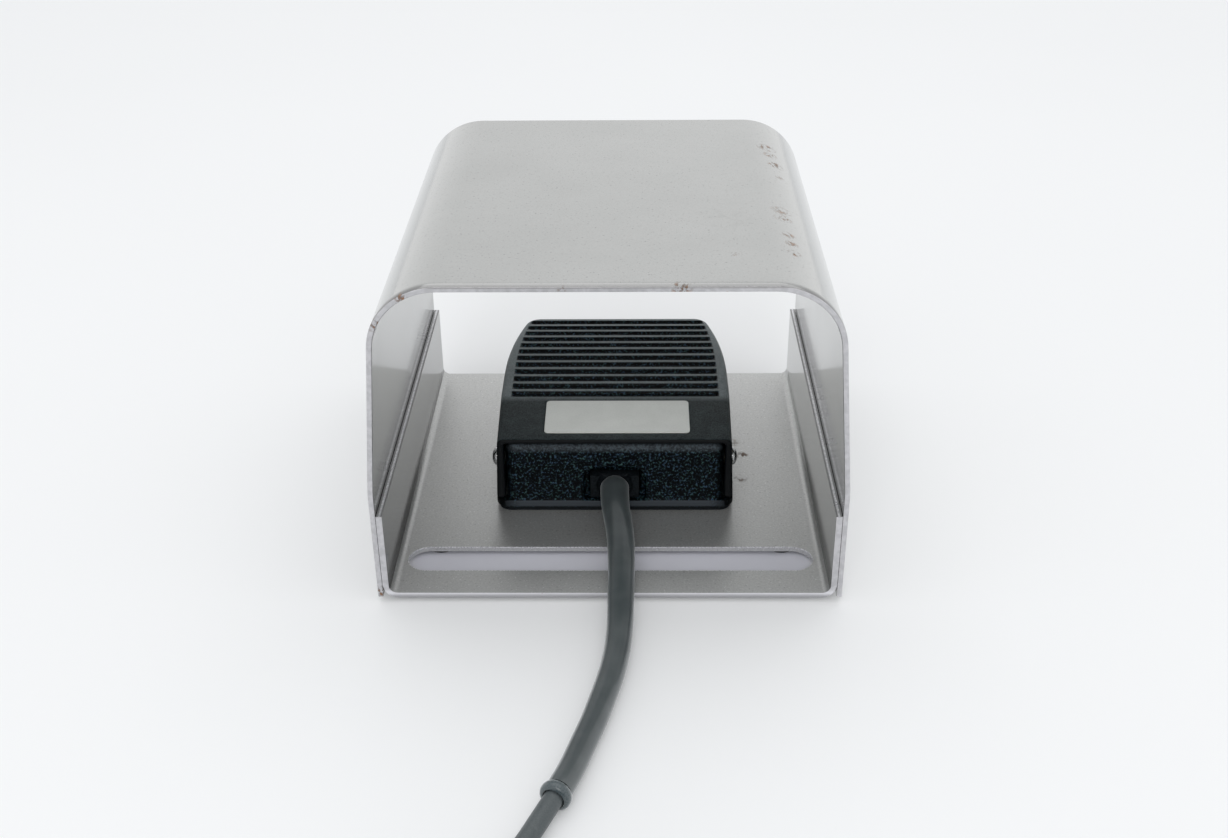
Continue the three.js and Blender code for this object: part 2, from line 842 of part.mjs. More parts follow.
/** A slotted round-head screw along z: the head is below z = 0 and the shank above. */
function screwBody(shank, length, headRadius, headHeight) {
  const profile = [
    [0, -headHeight],
    [headRadius * 0.6, -headHeight],
    [headRadius * 0.92, -headHeight * 0.6],
    [headRadius, 0],
    [shank, 0],
    [shank, length],
    [0, length],
  ];
  const slot = box(
    -headRadius - past,
    headRadius + past,
    -driverSlot / 2,
    driverSlot / 2,
    -headHeight - past,
    -headHeight + driverSlot,
  );
  return cut(solid(turned(profile, 12)), solid(slot));
}

function housingScrew(name, x, y) {
  const under = -sheet - gap; // under the tray
  const length = screwLength - under;
  const body = screwBody(screwShank, length, screwHeadRadius, screwHeadHeight);
  return piece(name, faceted(body).translate(x, y, under), brightSteel);
}

// ---- treadle, about its own pivot ---------------------------------------------------------------

const labelCentreY = labelFromEdge + labelLength / 2;

/** A solid made in the switch's frame, moved to the pivot's. */
function aboutPivot(body) {
  return faceted(body).translate(0, -pivotY, -pivotZ);
}

/** A plan shape on the label's tilted seat, from low to high above it. */
function onLabelSeat(shape, low, high) {
  const geometry = alongZ(shape, low, high, 4).rotateX(rad(labelTilt));
  return geometry.translate(labelShift, labelCentreY, crownAt(labelCentreY));
}

function treadleOuter() {
  const side = new THREE.Shape();
  const steps = 10;
  const toeTop = treadleLength - toeRounding;
  side.moveTo(0, skirtCordZ);
  side.lineTo(treadleLength, skirtToeZ);
  side.absarc(toeTop, crownAt(toeTop) - toeRounding, toeRounding, 0, Math.PI / 2, false);
  for (let k = steps - 1; k >= 0; k--) {
    const y = (toeTop * k) / steps;
    side.lineTo(y, crownAt(y));
  }
  side.closePath();
  const block = solid(alongX(side, -farX, farX, 5));
  return block.intersect(solid(alongZ(planOutline(0, 0, treadleEdge), 0, crownZ + past, 8)));
}

function treadleInner() {
  const steps = 8;
  const points = [
    [-past, 0],
    [treadleLength, 0],
  ];
  for (let k = steps; k >= 0; k--) {
    const y = THREE.MathUtils.lerp(treadleLipLength, treadleLength, k / steps);
    points.push([y, crownAt(y) - treadlePlate]);
  }
  points.push([0, crownAt(0) - treadleLip], [-past, crownAt(0) - treadleLip]);
  const block = solid(alongX(polygon(points), -farX, farX));
  const plan = planOutline(treadleWall, -past, past);
  return block.intersect(solid(alongZ(plan, -past, crownZ, 8)));
}

function grooves() {
  const tools = [];
  for (let i = 0; i < grooveCount; i++) {
    const y = firstGrooveY + i * groovePitch;
    const past = Math.max(y - grooveTaperY, 0);
    const half = grooveHalfLength - past ** 2 / (2 * grooveTaperRadius);
    const shape = roundedBox(half, grooveWidth / 2, grooveWidth / 2);
    const low = crownAt(y) - grooveDepth;
    tools.push(solid(alongZ(shape, low, crownZ + past, 4).translate(0, y, 0)));
  }
  return tools;
}

function treadle() {
  const seat = roundedBox(
    labelWidth / 2 + gap,
    labelLength / 2 + gap,
    labelCorner + gap,
  );
  const seatDepth = labelThickness - labelProud + gap;
  const peg = post(
    0,
    springY,
    springPegRadius,
    crownAt(springY) - treadlePlate - springPegHeight,
    crownAt(springY) - treadlePlate / 2,
  );
  const shell = join(cut(treadleOuter(), treadleInner()), solid(peg));
  const bushingHole = pivotShank + screwGap + bushingWall + gap;
  const body = cut(
    shell,
    ...grooves(),
    solid(onLabelSeat(seat, -seatDepth, past)),
    solid(rod(pivotY, pivotZ, bushingHole, -farX, farX)),
  );
  return piece('treadle', aboutPivot(body), blackCasting);
}

function label() {
  const shape = roundedBox(labelWidth / 2, labelLength / 2, labelCorner);
  const body = solid(onLabelSeat(shape, labelProud - labelThickness, labelProud));
  return piece('label_plate', aboutPivot(body), labelFilm);
}

function bushing(name, side) {
  const bore = pivotShank + screwGap;
  const inner = treadleHalfWidth - treadleWall;
  const ends = [side * inner, side * treadleHalfWidth];
  const from = Math.min(...ends);
  const to = Math.max(...ends);
  const body = cut(
    solid(rod(0, 0, bore + bushingWall, from, to)),
    solid(rod(0, 0, bore, from - past, to + past)),
  );
  return piece(name, faceted(body), brass);
}

function pivotScrew(name, side) {
  const body = screwBody(pivotShank, pivotShankLength, pivotHeadRadius, pivotHeadHeight);
  const mesh = piece(name, faceted(body), brightSteel);
  mesh.rotation.y = (-side * Math.PI) / 2;
  mesh.position.set(side * (treadleHalfWidth + gap), 0, 0);
  return mesh;
}

// ---- works inside the housing -------------------------------------------------------------------

function plunger() {
  const profile = [
    [0, plungerBottom],
    [plungerNoseRadius, plungerBottom],
    [plungerRadius, plungerBottom + plungerNose],
    [plungerRadius, plungerTop - plungerChamfer],
    [plungerTopRadius, plungerTop],
    [0, plungerTop],
  ];
  return piece('plunger', turned(profile).translate(0, plungerY, 0), whitePlastic);
}

function plungerSeal() {
  const top = housingTopAt(plungerY + sealRadius) - sealSunk;
  const low = housingTopAt(plungerY) - sealHeight;
  const body = cut(
    solid(post(0, plungerY, sealRadius, low, top)),
    solid(post(0, plungerY, plungerRadius + gap, low - past, top + past)),
  );
  return piece('plunger_seal', faceted(body), blackRubber);
}

const snapTop = snapZ + snapHeight;
const snapScrewSpots = [-0.5, 0.5].map((k) => snapY + snapLength / 2 + k * snapScrewPitch);
const earInner = leverWidth / 2 + gap;
const bracketX = -snapWidth / 2 - gap; // the bracket's face that the snap switch is on
const bracketScrewSpots = snapScrewSpots.map((y) => [bracketX - bracketFoot / 2 - bracketSheet, y]);

function snapSwitch() {
  const half = snapWidth / 2;
  const ears = Object.values(sides).map((side) => {
    const ends = [side * earInner, side * half];
    return solid(
      box(
        Math.min(...ends),
        Math.max(...ends),
        leverPivotY - snapEarReach,
        leverPivotY + snapEarReach,
        snapTop - snapEar,
        leverPivotZ + snapEarReach,
      ),
    );
  });
  const body = join(solid(box(-half, half, snapY, snapY + snapLength, snapZ, snapTop)), ...ears);
  const buttonY = leverPivotY + buttonFromPivot;
  return piece(
    'snap_switch',
    faceted(
      cut(
        body,
        solid(rod(leverPivotY, leverPivotZ, leverPin + gap, -half - past, half + past, 10)),
        solid(post(0, buttonY, buttonRadius + gap, snapTop - buttonDepth - buttonRoom, snapTop + past, 12)),
        ...snapScrewSpots.map((y) =>
          solid(rod(y, snapScrewZ, snapScrewShank + screwGap, -half - past, half + past, 10)),
        ),
      ),
    ),
    blackPlastic,
  );
}

function snapButton() {
  const y = leverPivotY + buttonFromPivot;
  const geometry = post(0, y, buttonRadius, snapTop - buttonDepth, buttonTop, 12);
  return piece('snap_button', geometry, redPlastic);
}

/** The lever, about its own pin. */
function lever() {
  const half = leverWidth / 2;
  const blade = box(-half, half, 0, leverLength, -leverThickness / 2, leverThickness / 2);
  const eye = solid(rod(0, 0, leverEye, -half, half, 12));
  const hole = solid(rod(0, 0, leverPin + gap, -half - past, half + past, 12));
  const body = cut(join(eye, solid(blade)), hole);
  const mesh = piece('snap_lever', faceted(body), springSteel);
  mesh.position.set(0, leverPivotY, leverPivotZ);
  mesh.rotation.x = rad(leverTilt);
  return mesh;
}

function leverPinPiece() {
  const half = snapWidth / 2 + leverPinEnd;
  return piece('lever_pin', rod(leverPivotY, leverPivotZ, leverPin, -half, half, 10), brightSteel);
}

function bracket() {
  const x = bracketX - bracketSheet / 2;
  const low = housingZ + bracketSheet / 2;
  const section = bentSheet(
    [
      [x, bracketHeight],
      [x, low],
      [x - bracketFoot, low],
    ],
    [bracketSheet],
    bracketSheet,
    4,
  );
  const holes = snapScrewSpots.map((y) =>
    solid(rod(y, snapScrewZ, snapScrewShank + screwGap, -farX, farX, 10)),
  );
  const footHoles = bracketScrewSpots.map(([hx, y]) =>
    solid(post(hx, y, snapScrewShank + screwGap, 0, housingZ + bracketSheet + past, 10)),
  );
  const body = cut(solid(alongY(section, snapY, snapY + snapLength)), ...holes, ...footHoles);
  return piece('switch_bracket', faceted(body), platedSteel);
}

function snapScrew(name, y) {
  const length = snapWidth + gap + bracketSheet + snapScrewEnd;
  const body = screwBody(snapScrewShank, length, snapScrewHead, snapScrewHeadHeight);
  const mesh = piece(name, faceted(body), brightSteel);
  mesh.rotation.y = -Math.PI / 2;
  mesh.position.set(snapWidth / 2 + gap, y, snapScrewZ);
  return mesh;
}

function bracketScrew(name, [x, y]) {
  const top = housingZ + bracketSheet + gap;
  const body = screwBody(snapScrewShank, top - plateZ, snapScrewHead, snapScrewHeadHeight);
  const mesh = piece(name, faceted(body), brightSteel);
  mesh.rotation.x = Math.PI;
  mesh.position.set(x, y, top);
  return mesh;
}

const bladeSpots = Array.from(
  { length: bladeCount },
  (_, i) => snapY + snapLength / 2 + (i - (bladeCount - 1) / 2) * bladePitch,
);

function blade(name, y) {
  const top = snapZ - gap;
  const half = bladeThickness / 2;
  const geometry = box(-bladeWidth / 2, bladeWidth / 2, y - half, y + half, top - bladeLength, top);
  return piece(name, geometry, brass);
}

const wireZ = snapZ - gap - bladeLength / 2;
const wireStartY = backOfNotch + glandFlange + 2 * gap;

/** The common lead, which meets the first blade head on. */
function commonWire() {
  const end = bladeSpots[0] - bladeThickness / 2 - gap;
  const curve = smoothCurve(
    vectors([
      [-wireX, wireStartY, cordAxisZ],
      [-wireX, wireStartY + wireStraight, cordAxisZ],
      [-wireX, wireStartY + wireDropY, cordAxisZ - wireDrop],
      [-wireRadius, end - wireBend, wireZ + wireRadius],
      [0, end - wireEnd, wireZ],
      [0, end, wireZ],
    ]),
  );
  return piece('common_wire', cordAlong(curve, wireRadius, 8, 14), redPlastic);
}

/** The switched lead, which passes beside the snap switch and meets the last blade from its side. */
function switchedWire() {
  const y = bladeSpots.at(-1);
  const end = bladeWidth / 2 + gap;
  const beside = snapWidth / 2 + snapScrewHeadHeight + wireRadius + wireBeside;
  const curve = smoothCurve(
    vectors([
      [wireX, wireStartY, cordAxisZ],
      [wireX, wireStartY + wireStraight, cordAxisZ],
      [wireX + wireBeside, wireStartY + wireDropY, cordAxisZ - wireDrop],
      [beside, snapY - wireEnd, wireZ + wireRadius],
      [beside, y - wireBend, wireZ],
      [beside - wireRadius, y - wireEnd, wireZ],
      [end + wireEnd, y, wireZ],
      [end, y, wireZ],
    ]),
  );
  return piece('switched_wire', cordAlong(curve, wireRadius, 8, 20), whitePlastic);
}

function returnSpring() {
  const top = crownAt(springY) - treadlePlate - gap;
  const stations = [];
  const steps = 8;
  const count = springTurns * steps;
  const low = springZ + springWire;
  const high = top - springWire;
  for (let i = 0; i <= count; i++) {
    const angle = (2 * Math.PI * i) / steps;
    stations.push(
      new THREE.Vector3(
        springRadius * Math.cos(angle),
        springY + springRadius * Math.sin(angle),
        THREE.MathUtils.lerp(low, high, i / count),
      ),
    );
  }
  return piece('return_spring', tube(stations, () => springWire, 5), springSteel);
}

function stopPad(name, side) {
  const low = housingTopAt(stopY) - stopSeat;
  return piece(name, post(side * stopX, stopY, stopRadius, low, stopTop), blackRubber);
}

function gland() {
  const low = flangeTop + gap;
  const body = join(
    solid(box(-glandHalfWidth, glandHalfWidth, glandFront, backOfNotch + 1, low, glandTop)),
    solid(
      box(
        -glandHalfWidth - glandFlangeLip,
        glandHalfWidth + glandFlangeLip,
        backOfNotch + gap,
        backOfNotch + gap + glandFlange,
        low,
        glandTop + glandFlangeLip,
      ),
    ),
  );
  return piece('cord_gland', faceted(body), blackRubber);
}

// ---- cord ---------------------------------------------------------------------------------------

/** Where the coil's line runs, with its layer heights, and straight for a diameter at each end. */
function coilLine() {
  const step = (2 * Math.PI) / coilSteps;
  const inner = coilMeanRadius - (coilPitch * coilLayerLoops) / 2;
  const low = cordRadius + tieThickness + gap;
  const perStep = coilPitch / coilSteps;
  const climb = coilSteps / 2;
  const polar = [];
  let radius = inner + coilPitch * coilLayerLoops;
  let height = low;
  let direction = -1;
  polar.push([radius, height]);
  for (let layer = 0; layer < coilLayers; layer++) {
    const loops = layer === coilLayers - 1 ? coilLastLoops : coilLayerLoops;
    for (let i = 0; i < Math.round(loops * coilSteps); i++) {
      radius += direction * perStep;
      polar.push([radius, height]);
    }
    if (layer < coilLayers - 1) {
      for (let i = 0; i < climb; i++) {
        radius += direction * perStep * (i < climb / 2 ? 1 : -1);
        height += coilPitch / climb;
        polar.push([radius, height]);
      }
      direction = -direction;
    }
  }
  const line = polar.map(([r, z], i) => {
    const angle = rad(coilStartAngle) + i * step;
    return new THREE.Vector3(
      coilCentre.x + r * Math.cos(angle),
      coilCentre.y + r * Math.sin(angle),
      z,
    );
  });
  const ahead = line[0].clone().sub(line[1]).normalize();
  const behind = line.at(-1).clone().sub(line.at(-2)).normalize();
  line.unshift(line[0].clone().addScaledVector(ahead, 2 * cordRadius));
  line.push(line.at(-1).clone().addScaledVector(behind, 2 * cordRadius));
  return line;
}

const coilStations = coilLine();

/** The least gap between one turn's surface and another's, from its stations. */
function leastGap(stations, diameter, skip) {
  let least = Infinity;
  for (let i = 0; i < stations.length; i++) {
    for (let k = i + skip; k < stations.length; k++) {
      least = Math.min(least, stations[i].distanceTo(stations[k]));
    }
  }
  return least - diameter;
}

function lengthOf(points) {
  return points.slice(1).reduce((sum, p, i) => sum + p.distanceTo(points[i]), 0);
}

function runCurve() {
  const end = coilStations[0];
  const inward = coilStations[1].clone().sub(end).normalize();
  const meet = end.clone().addScaledVector(inward, -gap);
  const before = meet.clone().addScaledVector(inward, -2 * cordRadius);
  return smoothCurve([routeStart, ...vectors(runPoints), before, meet]);
}

const plugStart = new THREE.Vector3(-18, -333, plugRadius);

function tailCurve() {
  const end = coilStations.at(-1);
  const outward = end.clone().sub(coilStations.at(-2)).normalize();
  const start = end.clone().addScaledVector(outward, gap);
  const after = start.clone().addScaledVector(outward, cordRadius);
  const meet = plugStart.clone();
  meet.x -= gap;
  const before = meet.clone();
  before.x -= 2 * cordRadius;
  return smoothCurve([start, after, ...vectors(tailPoints), before, meet]);
}

const run = runCurve();
const tail = tailCurve();
const runLength = run.getLength();
const reliefSteps = Math.round((reliefLength / runLength) * routeSteps);
const reliefEnd = (runLength * reliefSteps) / routeSteps;

function cordRun() {
  return piece('cord_run', cordAlong(run, cordRadius, cordSides, routeSteps), greyCord);
}

/** The bored bend relief, which tapers towards its ring. */
function bendRelief() {
  const stations = run.getSpacedPoints(routeSteps).slice(0, reliefSteps + 1);
  const radiusAt = (i) => {
    const left = 1 - i / reliefSteps;
    return reliefEndRadius + (reliefStartRadius - reliefEndRadius) * left ** reliefTaper;
  };
  return piece('bend_relief', tube(stations, radiusAt, reliefSides, reliefBore), greyRubber);
}

/** The round bead that ends the relief. */
function reliefRing() {
  const from = (reliefEnd + gap) / runLength;
  const to = (reliefEnd + gap + ringWidth) / runLength;
  const steps = 6;
  const stations = [];
  for (let i = 0; i <= steps; i++) {
    stations.push(run.getPointAt(THREE.MathUtils.lerp(from, to, i / steps)));
  }
  const radiusAt = (i) => ringRadius - ringCrown * (2 * (i / steps) - 1) ** 2;
  return piece('relief_ring', tube(stations, radiusAt, reliefSides, reliefBore), blackRubber);
}

function cordCoil() {
  return piece('cord_coil', tube(coilStations, () => cordRadius, coilSides), greyCord);
}

function cordTail() {
  return piece('cord_tail', cordAlong(tail, cordRadius, cordSides, tailSteps), greyCord);
}

/** A band round the bundle of turns. */
function coilTie() {
  const inner = coilMeanRadius - (coilPitch * coilLayerLoops) / 2 - coilPitch / 4;
  const outer = coilMeanRadius + (coilPitch * coilLayerLoops) / 2 + coilPitch / 4;
  const halfWide = (outer - inner) / 2 + cordRadius + gap;
  const halfHigh = (coilPitch * (coilLayers - 1)) / 2 + cordRadius + gap;
  const corner = cordRadius;
  const band = roundedBox(halfWide + tieThickness, halfHigh + tieThickness, corner + tieThickness);
  band.holes.push(new THREE.Path(roundedBox(halfWide, halfHigh, corner).getPoints(4)));
  const geometry = alongY(band, -tieWidth / 2, tieWidth / 2, 4);
  const mesh = piece('coil_tie', geometry, blackPlastic);
  const angle = rad(tieAngle);
  mesh.rotation.z = angle;
  mesh.position.set(
    coilCentre.x + coilMeanRadius * Math.cos(angle),
    coilCentre.y + coilMeanRadius * Math.sin(angle),
    halfHigh + tieThickness,
  );
  return mesh;
}

/** A turned piece of the plug: its profile runs along +x from the plug's start. */
function plugPiece(name, profile, material) {
  const geometry = turned(profile).rotateY(Math.PI / 2);
  return piece(name, geometry.translate(plugStart.x, plugStart.y, plugStart.z), material);
}

const collarStart = plugGripLength + gap;
const shaftStart = collarStart + plugCollarLength + gap;
const insulatorStart = shaftStart + plugShaftLength + gap;
const tipStart = insulatorStart + insulatorLength + gap;

function plugPieces() {
  const tipEnd = tipStart + plugTipLength;
  return [
    plugPiece(
      'plug_grip',
      [
        [0, 0],
        [plugEndRadius, 0],
        [plugTaperRadius, plugTaperLength],
        [plugRadius, plugTaperEnd],
        [plugRadius, plugGripLength - 2 * plugChamfer],
        [plugRadius - plugChamfer, plugGripLength],
        [0, plugGripLength],
      ],
      blackPlastic,
    ),
    plugPiece(
      'plug_collar',
      [
        [0, collarStart],
        [plugCollarRadius, collarStart],
        [plugCollarRadius, collarStart + plugCollarLength],
        [0, collarStart + plugCollarLength],
      ],
      brightSteel,
    ),
    plugPiece(
      'plug_shaft',
      [
        [0, shaftStart],
        [plugShaftRadius, shaftStart],
        [plugShaftRadius, shaftStart + plugShaftLength],
        [0, shaftStart + plugShaftLength],
      ],
      brightSteel,
    ),
    plugPiece(
      'plug_insulator',
      [
        [0, insulatorStart],
        [plugShaftRadius, insulatorStart],
        [plugShaftRadius, insulatorStart + insulatorLength],
        [0, insulatorStart + insulatorLength],
      ],
      blackPlastic,
    ),
    plugPiece(
      'plug_tip',
      [
        [0, tipStart],
        [plugShaftRadius, tipStart],
        [plugShaftRadius, tipStart + plugChamfer],
        [plugNeckRadius, tipStart + plugNeckAt],
        [plugShaftRadius, tipStart + 2 * plugNeckAt - plugChamfer],
        [plugPointRadius, tipEnd - plugChamfer / 2],
        [0, tipEnd],
      ],
      brightSteel,
    ),
  ];
}

// ---- assembly -----------------------------------------------------------------------------------

const guard = new THREE.Group();
guard.position.z = footHeight;
const switchY = switchFromEdge - guardDepth / 2;
const trayScrews = screwSpots.map(([, x, y]) => [x + switchShift, y + switchY]);
guard.add(hood(), tray(trayScrews));
for (const [name, side] of Object.entries(sides)) {
  guard.add(weldBead(`weld_${name}_cord`, side, cordEdge + weldFromEdge + weldLength / 2));
  guard.add(weldBead(`weld_${name}_toe`, side, toeEdge - weldFromEdge - weldLength / 2));
}

const feet = new THREE.Group();
for (const [name, side] of Object.entries(sides)) {
  const x = side * (guardWidth / 2 - footInset);
  feet.add(foot(`foot_${name}_cord`, x, cordEdge + footFromCordEdge));
  feet.add(foot(`foot_${name}_toe`, x, toeEdge - footFromToeEdge));
}

const pivotGroup = new THREE.Group();
pivotGroup.position.set(0, pivotY, pivotZ);
pivotGroup.add(treadle(), label());
for (const [name, side] of Object.entries(sides)) {
  pivotGroup.add(bushing(`pivot_bushing_${name}`, side), pivotScrew(`pivot_screw_${name}`, side));
}

const footSwitch = new THREE.Group();
footSwitch.position.set(switchShift, switchY, footHeight + sheet);
footSwitch.add(housing(), bottomPlate(), gasket(), gland(), pivotGroup);
for (const [name, x, y] of screwSpots) {
  footSwitch.add(housingScrew(`housing_screw_${name}`, x, y));
}
footSwitch.add(plunger(), plungerSeal(), returnSpring());
footSwitch.add(stopPad('stop_pad_left', -1), stopPad('stop_pad_right', 1));
footSwitch.add(snapSwitch(), snapButton(), lever(), leverPinPiece(), bracket());
snapScrewSpots.forEach((y, i) => footSwitch.add(snapScrew(`snap_screw_${i + 1}`, y)));
bracketScrewSpots.forEach((spot, i) => footSwitch.add(bracketScrew(`bracket_screw_${i + 1}`, spot)));
bladeSpots.forEach((y, i) => footSwitch.add(blade(`terminal_${i + 1}`, y)));
footSwitch.add(commonWire(), switchedWire());

const cord = new THREE.Group();
cord.add(bendRelief(), reliefRing(), cordRun(), cordCoil(), cordTail(), coilTie(), ...plugPieces());

const model = new THREE.Group();
model.add(guard, feet, footSwitch, cord);

const cordLength = runLength + lengthOf(coilStations) + tail.getLength();
const selfGap = leastGap(coilStations, 2 * cordRadius, coilSteps / 2);
console.log(`cord length ${(cordLength / 1000).toFixed(3)} m, coil's least gap ${selfGap.toFixed(2)} mm`);

export default model;
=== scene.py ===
"""Dresses the guarded foot switch: camera and cord first, then the guard, the switch and its works."""

import json
from math import copysign, cos, pi, radians, sin, sqrt, tan

import bmesh
import bpy
import numpy as np
from mathutils import Matrix, Vector


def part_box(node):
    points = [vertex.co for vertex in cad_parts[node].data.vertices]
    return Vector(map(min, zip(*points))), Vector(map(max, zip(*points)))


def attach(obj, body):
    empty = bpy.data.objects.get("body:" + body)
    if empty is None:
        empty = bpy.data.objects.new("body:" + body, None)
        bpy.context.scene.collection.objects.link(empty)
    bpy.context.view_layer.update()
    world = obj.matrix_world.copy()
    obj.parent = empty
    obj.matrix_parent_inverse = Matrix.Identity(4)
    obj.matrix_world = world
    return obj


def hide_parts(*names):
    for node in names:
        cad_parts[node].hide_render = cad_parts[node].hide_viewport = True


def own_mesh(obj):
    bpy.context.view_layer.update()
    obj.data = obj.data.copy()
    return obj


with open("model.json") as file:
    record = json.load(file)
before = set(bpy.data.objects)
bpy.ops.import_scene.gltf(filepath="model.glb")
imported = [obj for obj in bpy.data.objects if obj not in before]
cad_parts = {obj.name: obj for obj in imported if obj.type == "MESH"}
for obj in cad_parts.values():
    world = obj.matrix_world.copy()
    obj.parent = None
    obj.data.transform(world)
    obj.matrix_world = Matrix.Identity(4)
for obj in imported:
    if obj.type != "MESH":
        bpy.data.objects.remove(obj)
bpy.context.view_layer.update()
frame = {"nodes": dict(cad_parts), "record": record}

MM = 0.001
NODES = frame["nodes"]
SLOT_OF = {part["node"]: part["material_slot"] for part in frame["record"]["subparts"]}
BODY_OF = {
    node: body
    for body, members in frame["record"]["behaviour"]["bodies"].items()
    for node in members
}

# ---- sizes in mm, as in the part's source ----

GAP = 0.3
GUARD_WIDTH, GUARD_DEPTH, GUARD_HEIGHT = 165, 169, 121
SHEET = 1.9
HOOD_CORNER, HOOD_LEAN = 24, 0.083
HOOD_KINK_HEIGHT, HOOD_KINK_RADIUS = 43, 60
TRAY_FLANGE, TRAY_BEND = 34, 4.9
SLOT_LENGTH, SLOT_WIDTH, SLOT_FROM_EDGE = 148.4, 14.9, 13.8
FOOT_HEIGHT, FOOT_RADIUS, FOOT_DRAFT = 2.2, 6, 0.6
CORD_EDGE, TOE_EDGE = -GUARD_DEPTH / 2, GUARD_DEPTH / 2

TRAY_TOP = FOOT_HEIGHT + SHEET
SLOT_Y = CORD_EDGE + SLOT_FROM_EDGE + SLOT_WIDTH / 2
ROLL_DIP, ROLL_LEVELS = 0.55, (0.5, 1, 1.6, 2.3, 3.2)
BURR, END_BURR, BURR_LEVEL = 0.15, 0.24, 0.7

# the switch's own frame: y = 0 is the housing's cord-side wall, z = 0 the tray's top
SWITCH_ORIGIN = (1.3, -30.6, TRAY_TOP)
HOUSING_LOW, FLANGE_TOP = 1.8, 5.1
FLANGE_STEP, FLANGE_OUTSET, FLANGE_CORNER = 0.9, 0.8, 5
HOUSING_WALL, HOUSING_TOP, HOUSING_CREST, HOUSING_CORNER = 3, 29.3, 3.4, 3.6
LEDGE, SLOPE_Y, SLOPE_Z, SLOPE_END_Z = 9, 45, 28.2, 23.6
TREADLE_HALF, TREADLE_LENGTH = 45, 104
TREADLE_WALL, TREADLE_PLATE, SIDE_GAP, TOE_GAP = 2.8, 2.9, 0.6, 1.4
TREADLE_LIP, TREADLE_LIP_LENGTH = 1.8, 14
CROWN_RADIUS, CROWN_Y, CROWN_Z = 620, 63.7, 34.7
SIDE_ARC_Y, SIDE_ARC_RADIUS, TOE_CORNER, TOE_ROUNDING = 53.5, 195, 5.5, 2.2
SKIRT_CORD_Z, SKIRT_TOE_Z = 5.9, 12.6
DRAFT, DRAFT_Z, DRAFT_LOSS = 0.042, 18, 0.7
BULGE, BULGE_Y, BULGE_LOSS, BULGE_LOSS_Y, BULGE_LOSS_REACH = 0.55, 35, 0.35, 50, 40
GROOVES, GROOVE_PITCH, GROOVE_WIDTH, GROOVE_DEPTH = 12, 6, 3.6, 1.2
FIRST_GROOVE_Y, GROOVE_HALF = 32.4, 40.8
GROOVE_TAPER_Y, GROOVE_TAPER_RADIUS = 55, 267
LABEL_WIDTH, LABEL_LENGTH, LABEL_THICK, LABEL_PROUD = 55.5, 22, 0.5, 0.2
LABEL_Y, LABEL_X, LABEL_CORNER, LABEL_TILT = 15.7, 1, 1.6, radians(4.6)
PIVOT_Y, PIVOT_Z = 7.5, 20.1
PIVOT_SHANK, PIVOT_LENGTH, PIVOT_HEAD, PIVOT_HEAD_HEIGHT = 2, 13, 3.5, 1.9
BUSHING_WALL, BOSS_RADIUS, BOSS_LENGTH = 0.8, 5.5, 7
NOTCH_HALF, NOTCH_TOP, NOTCH_CORNER, NOTCH_DEPTH, NOTCH_BACK = 12, 19.5, 6, 4.5, 9
GLAND_HALF, GLAND_TOP, GLAND_FRONT = 9.4, 15.1, 1
CORD_AXIS_Z, GLAND_MOUTH, GLAND_SUNK = 10.7, 7, 1.6
SCREW_SHANK, SCREW_LENGTH, SCREW_HEAD, SCREW_HEAD_HEIGHT = 1.9, 13, 3.6, 1.4
POST_RADIUS, POST_HEIGHT, POST_INSET = 4.6, 16, 11.5
POST_CORD_Y, POST_TOE_Y = 9, 91
SCREW_GAP, DRIVER_SLOT = 0.3, 0.8
PLUNGER_Y, PLUNGER_RADIUS, SEAL_RADIUS, SEAL_HEIGHT = 54, 2.5, 5.5, 2
SPRING_Y, SPRING_Z, SPRING_RADIUS, SPRING_WIRE, SPRING_TURNS = 84, 12, 5, 0.65, 6
SPRING_CUP, SPRING_CUP_WALL, SPRING_PEG, SPRING_PEG_HEIGHT = 6.6, 2, 3.5, 2
STOP_X, STOP_Y, STOP_RADIUS, STOP_SEAT = 27, 93, 4, 1.8

# the cord and the pieces on it
CORD_RADIUS = 3.1
RELIEF_LENGTH, RELIEF_START, RELIEF_END, RELIEF_TAPER = 157, 5.5, 4.1, 1.6
RELIEF_BORE, RELIEF_NOSE, RELIEF_NOSE_LENGTH = 3.52, 0.7, 1.8
RING_RADIUS, RING_WIDTH, RING_CROWN = 5, 3.6, 1.1
COIL_X, COIL_Y, COIL_RADIUS, COIL_PITCH = -12, -278.6, 37.1, 6.8
COIL_LAYERS, COIL_LOOPS, COIL_LAST_LOOPS, COIL_STEPS = 4, 2, 4 / 3, 24
COIL_START_ANGLE, TIE_ANGLE = radians(152), radians(250)
TIE_WIDTH, TIE_THICK = 10, 0.8
GRIP_RADIUS, GRIP_LENGTH, GRIP_RIBS = 6.8, 34, 5
COLLAR_RADIUS, COLLAR_LENGTH = 5.4, 5
PLUG_RADIUS, SHAFT_LENGTH, INSULATOR_LENGTH = 3.175, 21.5, 1
PLUG_START = (-18, -333, GRIP_RADIUS)

